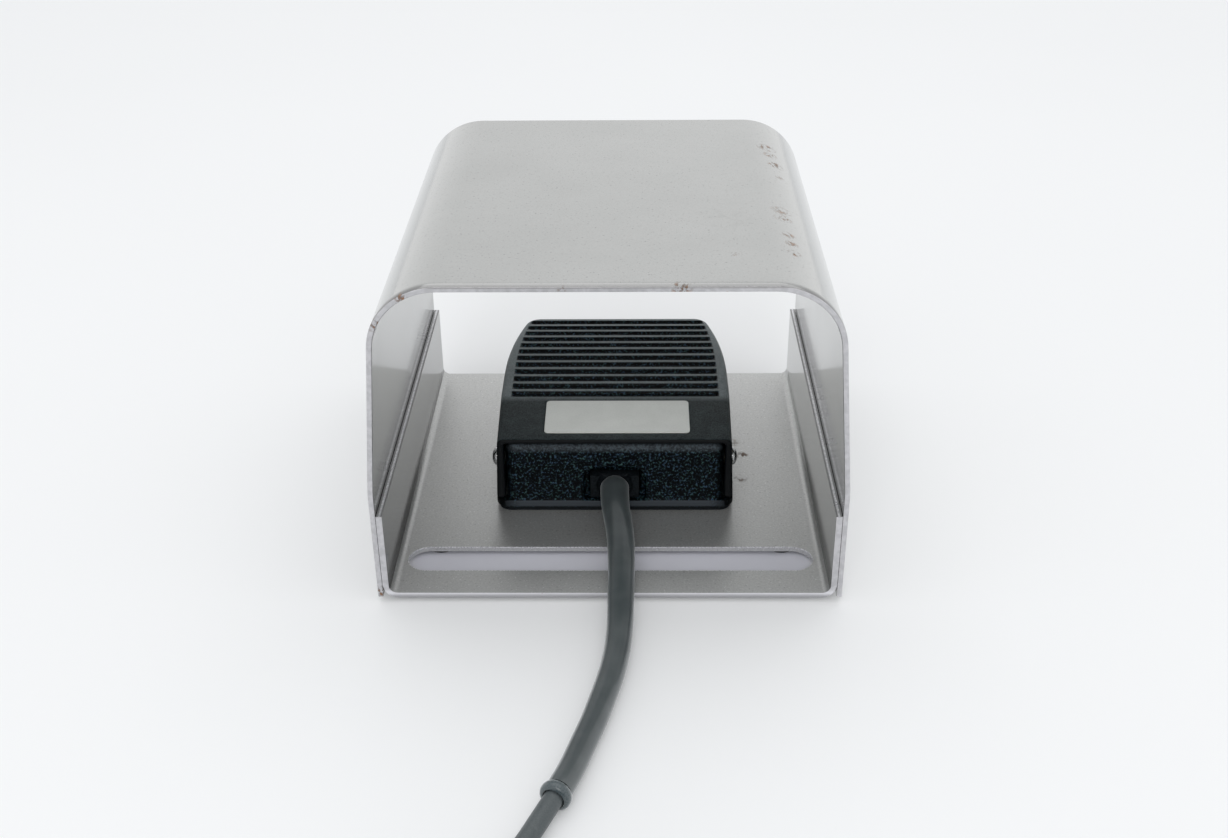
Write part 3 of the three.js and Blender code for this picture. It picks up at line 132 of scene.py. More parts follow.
# the points that were chosen for the cord's route, in metres
ROUTE_START = (0.0013, -0.0299, 0.0148)
RUN_POINTS = [
    (0.0014, -0.0356, 0.0147), (0.0018, -0.0436, 0.0142), (0.0030, -0.0536, 0.0134),
    (0.0039, -0.0640, 0.0124), (0.0042, -0.0769, 0.0108), (0.0041, -0.0932, 0.0078),
    (0.0039, -0.1046, 0.0055), (0.0031, -0.1171, 0.0047), (0.0013, -0.1296, 0.0045),
    (-0.0015, -0.1423, 0.0044), (-0.0040, -0.1526, 0.0043), (-0.0068, -0.1623, 0.0043),
    (-0.0102, -0.1741, 0.0045), (-0.0138, -0.1845, 0.0051), (-0.0183, -0.1948, 0.0046),
    (-0.0227, -0.2036, 0.0034), (-0.0304, -0.2191, 0.0032), (-0.0380, -0.2344, 0.0035),
]
TAIL_POINTS = [
    (-0.0345, -0.2408, 0.0246), (-0.0450, -0.2466, 0.0242), (-0.0545, -0.2561, 0.0226),
    (-0.0609, -0.2671, 0.0196), (-0.0639, -0.2786, 0.0158), (-0.0638, -0.2901, 0.0120),
    (-0.0606, -0.3016, 0.0090), (-0.0550, -0.3121, 0.0074), (-0.0470, -0.3211, 0.0069),
    (-0.0375, -0.3281, 0.0068), (-0.0290, -0.3316, 0.0068),
]


# ---- camera ----

def placed(name, data):
    """A new object in the scene."""
    thing = bpy.data.objects.new(name, data)
    bpy.context.scene.collection.objects.link(thing)
    return thing


def make_camera():
    """The photograph's own camera, solved from the guard's edges."""
    yaw, pitch, roll = radians(-0.94), radians(29.3), radians(-0.53)
    data = bpy.data.cameras.new("camera")
    data.sensor_fit = "HORIZONTAL"
    data.sensor_width = 36
    data.lens = 42.185
    data.clip_start = 0.01
    camera = placed("camera", data)
    camera.matrix_world = Matrix.Translation((0.009, -0.5001, 0.3082))
    for angle, axis in ((-yaw, "Z"), (pi / 2 - pitch, "X"), (roll, "Z")):
        camera.matrix_world = camera.matrix_world @ Matrix.Rotation(angle, 4, axis)
    bpy.context.scene.camera = camera


# ---- meshes ----

def piece(name, points, faces, angle=35):
    """A mesh object from points in metres, smooth except where its faces turn by more than angle."""
    mesh = bpy.data.meshes.new(name)
    mesh.from_pydata(np.asarray(points, float).tolist(), [], [list(map(int, f)) for f in faces])
    mesh.validate()
    return smooth(placed(name, mesh), angle)


def smooth(thing, angle=35):
    thing.data.shade_smooth()
    thing.data.set_sharp_from_angle(angle=radians(angle))
    return thing


def edited(thing, edit=None):
    """Edits an object's mesh, and turns its faces outward."""
    bm = bmesh.new()
    bm.from_mesh(thing.data)
    if edit:
        edit(bm)
    bmesh.ops.recalc_face_normals(bm, faces=bm.faces)
    bm.to_mesh(thing.data)
    bm.free()
    return thing


def soften(thing, width, segments=2, angle=30, flat=1.0):
    """Joins flat neighbours, then rounds the sharp edges by width mm."""
    def round_edges(bm):
        bmesh.ops.remove_doubles(bm, verts=bm.verts, dist=0.002 * MM)
        bmesh.ops.dissolve_limit(bm, angle_limit=radians(flat), verts=bm.verts, edges=bm.edges)
        sharp = [
            edge for edge in bm.edges
            if len(edge.link_faces) == 2 and edge.calc_face_angle(0) > radians(angle)
        ]
        bmesh.ops.bevel(
            bm, geom=sharp, offset=width * MM, segments=segments, profile=0.5,
            affect="EDGES", clamp_overlap=True,
        )

    return flattened(smooth(edited(thing, round_edges)))


def flattened(thing):
    """Large faces keep their own normals, so only the rounded edges between them shade as round."""
    even = thing.modifiers.new("even", "WEIGHTED_NORMAL")
    even.keep_sharp = True
    even.weight = 100
    return evaluated(thing)


def evaluated(thing):
    """Applies an object's modifiers to its mesh."""
    made = bpy.data.meshes.new_from_object(thing.evaluated_get(bpy.context.evaluated_depsgraph_get()))
    thing.modifiers.clear()
    thing.data = made
    return thing


def carve(thing, *tools):
    """Cuts tools out of thing, and drops them."""
    for tool in tools:
        cut = thing.modifiers.new("cut", "BOOLEAN")
        cut.operation = "DIFFERENCE"
        cut.solver = "MANIFOLD"
        cut.object = tool
    evaluated(thing)
    for tool in tools:
        bpy.data.objects.remove(tool)
    return thing


def prism(name, outline, levels, place=lambda u, v, w: (u, v, w)):
    """An outline in mm carried through levels. place turns (u, v, w) into a point in mm."""
    count = len(outline)
    points = [place(u, v, w) for w in levels for u, v in outline]
    rings = [range(count * k, count * (k + 1)) for k in range(len(levels))]
    faces = [rings[0][::-1], rings[-1], *ring_faces(rings)]
    return edited(piece(name, np.array(points) * MM, faces))


def rolled_edge(x, z, y):
    """The hood's top dips where it was sheared, at the cord side."""
    share = max(0, 1 - (y - CORD_EDGE) / ROLL_LEVELS[-1])
    flat = np.clip((z - GUARD_HEIGHT + HOOD_CORNER / 2) / (HOOD_CORNER / 2), 0, 1)
    return x, y, z - ROLL_DIP * share**2 * flat


def burred_edge(x, z, y):
    """The tray's flanges flare against the hood's sides where they were sheared."""
    outside = abs(x) > GUARD_WIDTH / 2 - SHEET - GAP - 0.05
    flare = END_BURR if abs(y) > TOE_EDGE - 0.1 else BURR
    return x + copysign(flare, x) * outside, y, z


def in_switch(x, y, z):
    return tuple(a + b for a, b in zip((x, y, z), SWITCH_ORIGIN))


def upright_to(axis):
    return Vector((0, 0, 1)).rotation_difference(Vector(axis)).to_matrix()


def turned(name, profile, origin, axis, sides=40):
    """Rings of (radius, height) in mm, closed at both ends, about an axis through origin."""
    turn = upright_to(axis)
    points, rings = [], []
    for radius, height in profile:
        around = [2 * pi * k / sides for k in range(sides if radius > 0 else 1)]
        rings.append(range(len(points), len(points) + len(around)))
        for angle in around:
            local = Vector((radius * cos(angle), radius * sin(angle), height))
            points.append((Vector(origin) + turn @ local) * MM)
    return piece(name, points, ring_faces(rings))


def ring_faces(rings):
    """Faces between one ring and the next, where a ring may be a single point."""
    faces = []
    for low, high in zip(rings, rings[1:]):
        count = max(len(low), len(high))
        for k in range(count):
            around = ((low, k), (low, k + 1), (high, k + 1), (high, k))
            faces.append(list(dict.fromkeys(ring[at % len(ring)] for ring, at in around)))
    return faces


def rounded_box(half_x, half_y, radius, steps=8):
    """The outline of a rectangle with round corners."""
    outline = []
    for quarter, (sx, sy) in enumerate(((1, 1), (-1, 1), (-1, -1), (1, -1))):
        for k in range(steps + 1):
            angle = pi / 2 * (quarter + k / steps)
            outline.append((
                sx * (half_x - radius) + radius * cos(angle),
                sy * (half_y - radius) + radius * sin(angle),
            ))
    return outline


def bent_sheet(corners, radii, thickness, steps):
    """The section of a bent sheet, from its middle line's corners and their bend radii."""
    ends = [Vector(c) for c in corners]
    heads = [(b - a).normalized() for a, b in zip(ends, ends[1:])]
    line = [(ends[0], heads[0])]
    for i, radius in enumerate(radii):
        before, after = heads[i], heads[i + 1]
        turn = -before.angle_signed(after)
        side = copysign(1, turn)
        start = ends[i + 1] - before * radius * tan(abs(turn) / 2)
        centre = start + Vector((-before.y, before.x)) * side * radius
        for k in range(steps + 1):
            rotate = Matrix.Rotation(turn * k / steps, 2)
            line.append((centre + rotate @ (start - centre), rotate @ before))
    line.append((ends[-1], heads[-1]))
    half = thickness / 2
    inner = [(p.x + h.y * half, p.y - h.x * half) for p, h in line]
    outer = [(p.x - h.y * half, p.y + h.x * half) for p, h in line]
    return inner + outer[::-1]


def smooth_path(points, per):
    """A centripetal Catmull-Rom curve through points, as the part's source draws it."""
    rows = [Vector(p) for p in points]
    rows = [2 * rows[0] - rows[1], *rows, 2 * rows[-1] - rows[-2]]
    path = []
    for p0, p1, p2, p3 in zip(rows, rows[1:], rows[2:], rows[3:]):
        t0, t1, t2 = (sqrt((b - a).length) for a, b in ((p0, p1), (p1, p2), (p2, p3)))
        m1 = ((p1 - p0) / t0 - (p2 - p0) / (t0 + t1) + (p2 - p1) / t1) * t1
        m2 = ((p2 - p1) / t1 - (p3 - p1) / (t1 + t2) + (p3 - p2) / t2) * t1
        for k in range(per):
            s = k / per
            path.append(
                (2 * s**3 - 3 * s**2 + 1) * p1 + (s**3 - 2 * s**2 + s) * m1
                + (3 * s**2 - 2 * s**3) * p2 + (s**3 - s**2) * m2
            )
    path.append(rows[-2])
    return path


def run_along(path):
    """How far along a path each of its points lies."""
    return np.cumsum([0, *((b - a).length for a, b in zip(path, path[1:]))])


def tube(name, path, radius_at, sides, bore=0.0):
    """A round tube along a path in metres. radius_at takes the share of its length, and gives mm."""
    along = run_along(path)
    normal = Vector((0, 0, 1))
    outer, inner, points = [], [], []
    for i, p in enumerate(path):
        ahead = (path[min(i + 1, len(path) - 1)] - path[max(i - 1, 0)]).normalized()
        normal = (normal - normal.dot(ahead) * ahead).normalized()
        side = ahead.cross(normal)
        for radius, rings in ((float(radius_at(along[i] / along[-1])), outer), (bore, inner)):
            if radius > 0:
                rings.append(range(len(points), len(points) + sides))
                for k in range(sides):
                    angle = 2 * pi * k / sides
                    out = cos(angle) * normal + sin(angle) * side
                    points.append(p + radius * MM * out)
    rings = outer + inner[::-1] + outer[:1] if bore > 0 else outer
    faces = ring_faces(rings)
    if bore == 0:
        faces += [outer[0][::-1], outer[-1]]
    return piece(name, points, faces)


def part_of_path(path, start, length):
    """The piece of a path from start on, for length, both in metres along it."""
    places = np.linspace(start, start + length, max(8, round(length / 0.0015)) + 1)
    columns = [np.interp(places, run_along(path), column) for column in np.array(path).T]
    return [Vector(point) for point in zip(*columns)]


# ---- cast shapes: a distance field, and the mesh where it is zero ----

def both(a, b, radius=None):
    """Inside a and b, with the edge between them rounded."""
    if radius is None:
        return np.maximum(a, b)
    corner = np.hypot(np.maximum(a + radius, 0), np.maximum(b + radius, 0))
    return np.minimum(np.maximum(a, b), -radius) + corner


def either(a, b, radius=None):
    return -both(-a, -b, radius)


def without(a, b, radius=None):
    return both(a, -b, radius)


def pin(u, v, centre_u, centre_v, radius):
    return np.hypot(u - centre_u, v - centre_v) - radius


def slab(u, low, high):
    return np.abs(u - (low + high) / 2) - (high - low) / 2


def cast(name, field, low, high, cell, keep):
    """A closed mesh where field is zero: a point in each cell that the surface crosses.

    The field covers the box low..high of the switch's frame in steps of cell, in mm, and the mesh
    is thinned to the share keep of its faces.
    """
    axes = [np.arange(a - 1.6 * c, b + 2.6 * c, c) for a, b, c in zip(low, high, cell)]
    grid = np.stack(np.meshgrid(*axes, indexing="ij"), -1)
    value = field(grid[..., 0], grid[..., 1], grid[..., 2])
    cells = np.array(value.shape) - 1
    total = np.zeros((cells.prod(), 3))
    count = np.zeros(cells.prod())
    quads = []
    for k in range(3):
        i, j = (k + 1) % 3, (k + 2) % 3
        here = np.take(value, range(cells[k]), k)
        ahead = np.take(value, range(1, cells[k] + 1), k)
        at = np.argwhere((here < 0) != (ahead < 0))
        at = at[(at[:, i] > 0) & (at[:, i] < cells[i]) & (at[:, j] > 0) & (at[:, j] < cells[j])]
        a, b = here[tuple(at.T)], ahead[tuple(at.T)]
        crossing = grid[tuple(at.T)]
        crossing[:, k] += a / (a - b) * cell[k]
        around = []
        for step_i, step_j in ((0, 0), (-1, 0), (-1, -1), (0, -1)):
            place = at.copy()
            place[:, i] += step_i
            place[:, j] += step_j
            flat = np.ravel_multi_index(place.T, cells)
            np.add.at(total, flat, crossing)
            np.add.at(count, flat, 1)
            around.append(flat)
        quad = np.stack(around, 1)
        quads.append(np.where((a < 0)[:, None], quad, quad[:, ::-1]))
    used = np.flatnonzero(count)
    points = total[used] / count[used, None] + np.array(SWITCH_ORIGIN)
    faces = np.searchsorted(used, np.concatenate(quads))
    thing = piece(name, points * MM, faces, angle=60)
    fewer = thing.modifiers.new("fewer", "DECIMATE")
    fewer.ratio = keep
    evaluated(thing)
    return smooth(thing, 60)


def plan(x, y):
    """Distance outside the treadle's outline from above; its cord side is left open."""
    side = np.where(
        y < SIDE_ARC_Y,
        np.abs(x) - TREADLE_HALF,
        np.hypot(np.abs(x) + SIDE_ARC_RADIUS - TREADLE_HALF, y - SIDE_ARC_Y) - SIDE_ARC_RADIUS,
    )
    return both(side, y - TREADLE_LENGTH, TOE_CORNER)


def crown(y):
    return CROWN_Z - CROWN_RADIUS + np.sqrt(CROWN_RADIUS**2 - (y - CROWN_Y) ** 2)


def housing_top(y):
    return np.interp(y, [LEDGE, SLOPE_Y, TREADLE_LENGTH], [HOUSING_TOP, SLOPE_Z, SLOPE_END_Z])


def half_width(y, inset):
    """Half the treadle's width at y, less inset."""
    if y < SIDE_ARC_Y:
        return TREADLE_HALF - inset
    reach = SIDE_ARC_RADIUS - inset
    return TREADLE_HALF - SIDE_ARC_RADIUS + sqrt(reach**2 - (y - SIDE_ARC_Y) ** 2)


SCREW_SPOTS = [
    (f"{end}_{side}", sign * half_width(y, POST_INSET), y)
    for end, y in (("cord", POST_CORD_Y), ("toe", POST_TOE_Y))
    for side, sign in (("left", -1), ("right", 1))
]


def treadle_field(x, y, z):
    share = np.clip(y / BULGE_Y, 0, 1)
    bulge = BULGE * share - BULGE_LOSS * np.clip((y - BULGE_LOSS_Y) / BULGE_LOSS_REACH, 0, 1)
    drafted = plan(x, y) - bulge + DRAFT * (1 - DRAFT_LOSS * share) * (z - DRAFT_Z)
    body = both(drafted, z - crown(y), TOE_ROUNDING)
    skirt = SKIRT_CORD_Z + (SKIRT_TOE_Z - SKIRT_CORD_Z) * y / TREADLE_LENGTH
    body = both(both(body, skirt - z, 0.6), -y, 0.7)
    plate = np.interp(y, [0, TREADLE_LIP_LENGTH], [TREADLE_LIP, TREADLE_PLATE])
    inside = both(plan(x, y) + TREADLE_WALL, z - crown(y) + plate, 1.2)
    body = without(body, inside, 0.5)
    nearest = np.clip(np.round((y - FIRST_GROOVE_Y) / GROOVE_PITCH), 0, GROOVES - 1)
    groove_y = FIRST_GROOVE_Y + GROOVE_PITCH * nearest
    past = np.maximum(groove_y - GROOVE_TAPER_Y, 0)
    half = GROOVE_HALF - past**2 / (2 * GROOVE_TAPER_RADIUS) - GROOVE_WIDTH / 2
    wall = np.hypot(np.maximum(np.abs(x) - half, 0), y - groove_y) - GROOVE_WIDTH / 2
    floor = crown(groove_y) - GROOVE_DEPTH
    body = without(body, both(wall, floor - z, 0.8), 0.6)
    rise, run = z - crown(LABEL_Y), y - LABEL_Y
    across = run * cos(LABEL_TILT) + rise * sin(LABEL_TILT)
    above = rise * cos(LABEL_TILT) - run * sin(LABEL_TILT)
    seat = both(
        slab(x, LABEL_X - LABEL_WIDTH / 2 - GAP, LABEL_X + LABEL_WIDTH / 2 + GAP),
        np.abs(across) - LABEL_LENGTH / 2 - GAP,
        LABEL_CORNER + GAP,
    )
    body = without(body, both(seat, -above - LABEL_THICK + LABEL_PROUD - GAP), 0.2)
    peg_low = crown(SPRING_Y) - TREADLE_PLATE - SPRING_PEG_HEIGHT
    peg = both(pin(x, y, 0, SPRING_Y, SPRING_PEG), slab(z, peg_low, peg_low + 4), 0.4)
    hole = pin(y, z, PIVOT_Y, PIVOT_Z, PIVOT_SHANK + SCREW_GAP + BUSHING_WALL + GAP)
    return without(either(body, peg), hole, 0.2)


def housing_field(x, y, z):
    inset = TREADLE_WALL + SIDE_GAP
    toe = y - (TREADLE_LENGTH - TREADLE_WALL - TOE_GAP)
    shell = both(both(plan(x, y) + inset, -y, HOUSING_CORNER), toe)
    body = both(shell, z - housing_top(y), HOUSING_CREST)
    flange = both(plan(x, y) - FLANGE_OUTSET, -y - FLANGE_STEP, FLANGE_CORNER)
    flange = both(flange, slab(z, HOUSING_LOW - 2, FLANGE_TOP), 0.4)
    body = both(either(body, flange, 0.4), HOUSING_LOW - z, 0.2)
    wall = HOUSING_WALL
    room = both(both(plan(x, y) + inset + wall, wall - y, HOUSING_CORNER), toe + wall)
    body = without(body, both(room, z - housing_top(y) + wall, 1))
    block = both(np.abs(x) - NOTCH_HALF - wall, slab(y, wall / 2, NOTCH_BACK))
    body = either(body, both(block, slab(z, HOUSING_LOW, NOTCH_TOP + wall)))
    arch = both(np.abs(x) - NOTCH_HALF, z - NOTCH_TOP, NOTCH_CORNER)
    body = without(body, both(both(arch, y - NOTCH_DEPTH), FLANGE_TOP - z), 0.6)
    gland = both(np.abs(x) - GLAND_HALF - GAP, slab(z, FLANGE_TOP, GLAND_TOP + GAP))
    body = without(body, both(gland, y - NOTCH_BACK - 1))
    for _, spot_x, spot_y in SCREW_SPOTS:
        post = both(pin(x, y, spot_x, spot_y, POST_RADIUS), slab(z, HOUSING_LOW, POST_HEIGHT))
        bore = pin(x, y, spot_x, spot_y, SCREW_SHANK + SCREW_GAP)
        body = without(either(body, post), both(bore, z - SCREW_LENGTH - GAP))
    cup_low = SPRING_Z - SPRING_CUP_WALL - GAP
    cup_high = housing_top(SPRING_Y) - 1
    cup = both(pin(x, y, 0, SPRING_Y, SPRING_CUP + SPRING_CUP_WALL), slab(z, cup_low, cup_high))
    body = without(either(body, cup), both(pin(x, y, 0, SPRING_Y, SPRING_CUP), SPRING_Z - GAP - z))
    body = without(body, pin(x, y, 0, PLUNGER_Y, PLUNGER_RADIUS + GAP))
    seat_low = housing_top(PLUNGER_Y) - SEAL_HEIGHT - GAP
    body = without(body, both(pin(x, y, 0, PLUNGER_Y, SEAL_RADIUS + GAP), seat_low - z))
    stop_low = housing_top(STOP_Y) - STOP_SEAT - GAP
    stop = both(pin(np.abs(x), y, STOP_X, STOP_Y, STOP_RADIUS + GAP), stop_low - z)
    body = without(body, stop)
    boss_end = TREADLE_HALF - inset - wall / 2
    boss = pin(y, z, PIVOT_Y, PIVOT_Z, BOSS_RADIUS)
    boss = both(boss, slab(np.abs(x), boss_end - BOSS_LENGTH, boss_end))
    return without(either(body, boss), pin(y, z, PIVOT_Y, PIVOT_Z, PIVOT_SHANK + SCREW_GAP))


# ---- materials ----

def math_node(operation, swapped=False):
    """One of Value's operators, which adds a Math node."""
    def apply(self, other=0.0):
        node = self.nodes.add("Math", operation=operation)
        for socket, value in zip(node.inputs, (other, self) if swapped else (self, other)):
            self.nodes.feed(socket, value)
        return Value(self.nodes, node.outputs[0])
    return apply


class Value:
    """A node's output: arithmetic on it adds nodes, and a comparison gives 0 or 1."""

    def __init__(self, nodes, socket):
        self.nodes, self.socket = nodes, socket

    __add__, __mul__ = math_node("ADD"), math_node("MULTIPLY")
    __sub__, __rsub__ = math_node("SUBTRACT"), math_node("SUBTRACT", swapped=True)
    __lt__, __gt__, __abs__ = math_node("LESS_THAN"), math_node("GREATER_THAN"), math_node("ABSOLUTE")
    most, root, ping_pong = math_node("MAXIMUM"), math_node("SQRT"), math_node("PINGPONG")

    def span(self, low, high, to_low=0.0, to_high=1.0, kind="LINEAR"):
        """From low..high to to_low..to_high, and no further."""
        node = self.nodes.add(
            "MapRange", interpolation_type=kind, Value=self, From_Min=low, From_Max=high,
            To_Min=to_low, To_Max=to_high,
        )
        return Value(self.nodes, node.outputs[0])


class Nodes:
    """A node tree, emptied, to which nodes are added one at a time."""

    def __init__(self, owner):
        owner.use_nodes = True
        self.tree = owner.node_tree
        self.tree.nodes.clear()

    def add(self, kind, **settings):
        """A node; a name with a capital is one of its sockets, any other a property."""
        node = self.tree.nodes.new("ShaderNode" + kind)
        for name, value in settings.items():
            if name[0].islower():
                setattr(node, name, value)
            else:
                self.feed(node.inputs[name.replace("_", " ")], value)
        return node

    def feed(self, socket, value):
        if isinstance(value, Value):
            value = value.socket
        if isinstance(value, bpy.types.NodeSocket):
            self.tree.links.new(value, socket)
        else:
            socket.default_value = value

    def seen(self, ray):
        """1 where a ray of this kind looks."""
        return Value(self, self.add("LightPath").outputs[f"Is {ray} Ray"])

    def seen_or_mirrored(self):
        """1 where the camera looks, straight, in gloss or through glass."""
        return self.seen("Camera").most(self.seen("Glossy")).most(self.seen("Transmission"))

    def blend(self, share, first, second):
        """Two shaders mixed."""
        node = self.add("MixShader", Fac=share)
        self.feed(node.inputs[1], first.outputs[0])
        self.feed(node.inputs[2], second.outputs[0])
        return node.outputs[0]


class Finish(Nodes):
    """A material on the principled shader."""

    def __init__(self, name, roughness, metallic=0.0, specular=0.5, coat=0.0):
        self.material = bpy.data.materials.new(name)
        super().__init__(self.material)
        self.shader = self.add(
            "BsdfPrincipled", Roughness=roughness, Metallic=metallic,
            Specular_IOR_Level=specular, Coat_Weight=coat, Coat_Roughness=0.25,
        )
        self.out = self.add("OutputMaterial", Surface=self.shader.outputs[0])
        self.place = self.add("TexCoord").outputs["Object"]

    def set(self, **settings):
        for name, value in settings.items():
            self.feed(self.shader.inputs[name.replace("_", " ")], value)
        return self

    def noise(self, size, detail=3.0, roughness=0.55, stretch=None, offset=0.0):
        """Noise whose lumps are about size mm across."""
        place = self.place
        if stretch or offset:
            mapping = self.add("Mapping", Vector=place, Scale=stretch or (1, 1, 1), Location=(offset,) * 3)
            place = mapping.outputs[0]
        node = self.add(
            "TexNoise", Vector=place, Scale=1 / (size * MM), Detail=detail, Roughness=roughness
        )
        return Value(self, node.outputs[0])

    def mix(self, share, a, b):
        """Colours a and b mixed; a plain number is a grey."""
        node = self.add("Mix", data_type="RGBA")
        self.feed(node.inputs[0], share)
        for socket, value in ((node.inputs[6], a), (node.inputs[7], b)):
            value = (value,) * 3 if isinstance(value, float) else value
            self.feed(socket, (*value, 1) if isinstance(value, tuple) else value)
        return Value(self, node.outputs[2])

    def bump(self, height, distance, strength=1.0, under=None):
        """Relief of distance mm where height goes from 0 to 1."""
        node = self.add("Bump", Height=height, Distance=distance * MM, Strength=strength)
        if under is not None:
            self.feed(node.inputs["Normal"], under)
        return node.outputs[0]

    def near(self, point, radius, soft=0.4):
        """1 within soft times radius mm of a point in mm, falling to 0 at radius."""
        apart = self.add("VectorMath", operation="DISTANCE", Vector=self.place)
        apart.inputs[1].default_value = tuple(v * MM for v in point)
        return Value(self, apart.outputs["Value"]).span(radius * MM, radius * soft * MM)

    def axes(self, origin=(0, 0, 0)):
        """x, y and z in mm from an origin in mm."""
        split = self.add("SeparateXYZ", Vector=self.place)
        return [Value(self, socket) * (1 / MM) - start for socket, start in zip(split.outputs, origin)]


def plain(name, dark, light, roughness, grain=0.6, relief=0.02, metallic=0.0, patch=14):
    """Fine grain over broad patches, in colour, gloss and relief."""
    finish = Finish(name, roughness, metallic)
    fine, broad = finish.noise(grain, 4), finish.noise(patch, 2, offset=0.7)
    return finish.set(
        Base_Color=finish.mix((fine * 0.6 + broad * 0.4).span(0.38, 0.62), dark, light),
        Roughness=broad.span(0.35, 0.65, roughness - 0.06, roughness + 0.06),
        Normal=finish.bump(fine, relief),
    )


# marks on the guard: where, how far they reach in mm, and how strong they are
HOOD_MARKS = [
    ((-74.5, CORD_EDGE, 110), 3.2, 1), ((-65.1, CORD_EDGE, 118.5), 2.6, 1),
    ((23.8, CORD_EDGE, 121.8), 4, 1), ((-81.4, CORD_EDGE, 4.5), 3.2, 1),
    ((-14, CORD_EDGE, 121.8), 1.7, 0.8), ((61.5, 51.4, 122), 4.5, 1), ((62.3, 43.4, 121.7), 3.5, 0.8),
    ((63.4, 32.9, 121.3), 4, 1), ((64, 19.4, 121.2), 2.2, 0.5), ((61.1, -17.6, 122.1), 4.5, 0.7),
    ((61.3, -24.6, 122), 4, 0.8), ((61.7, -40.1, 121.9), 3, 0.8), ((62, -47.6, 121.8), 3, 0.8),
    ((62.2, -55.6, 121.7), 3, 1), ((42, -59.6, 123), 2, 0.5),
]
TRAY_MARKS = [((53.3, 11.2, 4.1), 3, 0.8), ((50, 21.4, 4.1), 3.5, 0.5), ((51.5, -7.6, 4.1), 3, 0.5)]


def cut_edges(x, y, z):
    """1 on the tray's flange rims and round its slot."""
    rim = z > FOOT_HEIGHT + TRAY_FLANGE - 0.3
    past = (abs(x) - (SLOT_LENGTH - SLOT_WIDTH) / 2).most(0.0)
    run = y - SLOT_Y
    slot = (past * past + run * run).root() < SLOT_WIDTH / 2 + 0.38
    return rim.most(slot * z.span(TRAY_TOP - 0.6, TRAY_TOP - 0.3, 0.1, 0.95))


def plated_steel(name, gloss, floor_gloss, marks, cuts=None):
    """Satin zinc plate, finely mottled, duller on the tray's floor, with bare sheared edges."""
    finish = Finish(name, gloss, 1.0)
    x, y, z = finish.axes()
    fine, clouds = finish.noise(0.5, 3, 0.6), finish.noise(30, 4, 0.6)
    waves = finish.noise(24, 2, 0.4, offset=0.5)
    floor = z < TRAY_TOP + 1.5
    tone = (fine * 0.6 + clouds * 0.4).span(0.36, 0.64)
    pits = finish.noise(0.9, 2, 0.5, offset=0.2).span(0.64, 0.72)
    flecks = finish.noise(0.8, 2, 0.5, offset=0.6).span(0.64, 0.72)
    smudge = finish.near((40, -28, 123), 13, 0.1) * finish.noise(4, 4).span(0.5, 0.62)
    grain = finish.noise(0.8, 3, 0.7, offset=0.44).span(0.38, 0.62, 0.0, 0.5)
    # painted shade: darker low on the walls, most on the left, and not on the tray's floor; the rolled
    # strip along the top's cord edge is darker too
    wall_shade = z.span(15, 110, 0.72, 0.09) * (1 - floor) * x.span(-40, 40, 1.0, 0.38)
    rolled = y.span(CORD_EDGE + 0.9, CORD_EDGE + 2.8, 0.62, 0.0) * z.span(90, 108)
    colour = finish.mix(tone, (0.57, 0.576, 0.566), (0.625, 0.631, 0.621))
    for share, shade in (
        (floor * 0.13, 0.8),
        # painted shade on the tray's floor, darker toward its cord edge and its left side
        (floor * y.span(-70, -30, 0.2, 0) * x.span(-40, 20, 1, 0.3), 0.3),
        (pits * 0.5, 0.24),
        (flecks * floor * 0.7, 0.9),
        (smudge * 0.16, (0.3, 0.3, 0.29)),
        (grain * floor * 0.5, 0.3),
        (wall_shade.most(rolled), (0.17, 0.168, 0.172)),
    ):
        colour = finish.mix(share, colour, shade)

    ends = abs(y) > TOE_EDGE - 0.12
    shorn = finish.mix(finish.noise(2, 3).span(0.4, 0.62), (0.49, 0.488, 0.505), (0.58, 0.575, 0.595))
    # the top sheet's cut face is darker along its upper side
    darker_top = z.span(GUARD_HEIGHT + 0.9, GUARD_HEIGHT + 1.3, 0, 0.6)
    shorn = finish.mix(darker_top, shorn, (0.2, 0.19, 0.185))
    if cuts:
        cut = cuts(x, y, z)
        # painted highlights along the tray's flange rims: bright specks on their rounded sides, their
        # middle darker grey; round the slot the cut face is darker grey
        off_middle = abs(abs(x) - (GUARD_WIDTH / 2 - 1.5 * SHEET - GAP))
        middle = off_middle.span(0.25, 0.55, 1, 0).most(z < 2 * TRAY_TOP)
        glint = finish.mix(finish.noise(0.6, 2).span(0.4, 0.6), (0.6, 0.6, 0.63), (0.95, 0.95, 0.97))
        colour = finish.mix(cut, colour, finish.mix(middle, (0.3, 0.3, 0.305), glint))
        ends = ends.most(cut * 0.7)
        edge = finish.mix(z.span(2.6, 3.9), (0.4, 0.4, 0.42), (0.78, 0.78, 0.81))
        shorn = finish.mix(z.span(4.3, 6), edge, shorn)
    colour = finish.mix(ends > 0.8, colour, shorn)

    ragged = finish.noise(1.4, 4, 0.6, stretch=(1, 0.55, 1))
    torn = ragged.span(0.47, 0.56)
    rust = finish.noise(4.5, 5, 0.65, offset=0.31).span(0.7, 0.74) * ends
    for point, radius, share in marks:
        rust = rust.most(finish.near(point, radius) * torn * share)
    brown = finish.mix(ragged.span(0.5, 0.64), (0.05, 0.035, 0.022), (0.27, 0.12, 0.045))
    bare = rust.most(ends * 0.4).most(floor * 0.34)
    dull = floor * (floor_gloss - gloss) + (rust * 0.4 + ends * 0.22)
    return finish.set(
        Base_Color=finish.mix(rust * 0.9, colour, brown),
        Metallic=bare.span(0, 0.7, 1.0, 0.3),
        Roughness=dull + clouds.span(0.35, 0.65, gloss - 0.015, gloss + 0.02),
        Normal=finish.bump(fine, 0.006, under=finish.bump(waves, 0.04)),
        Specular_Tint=(0.97, 0.97, 0.97, 1),
    )


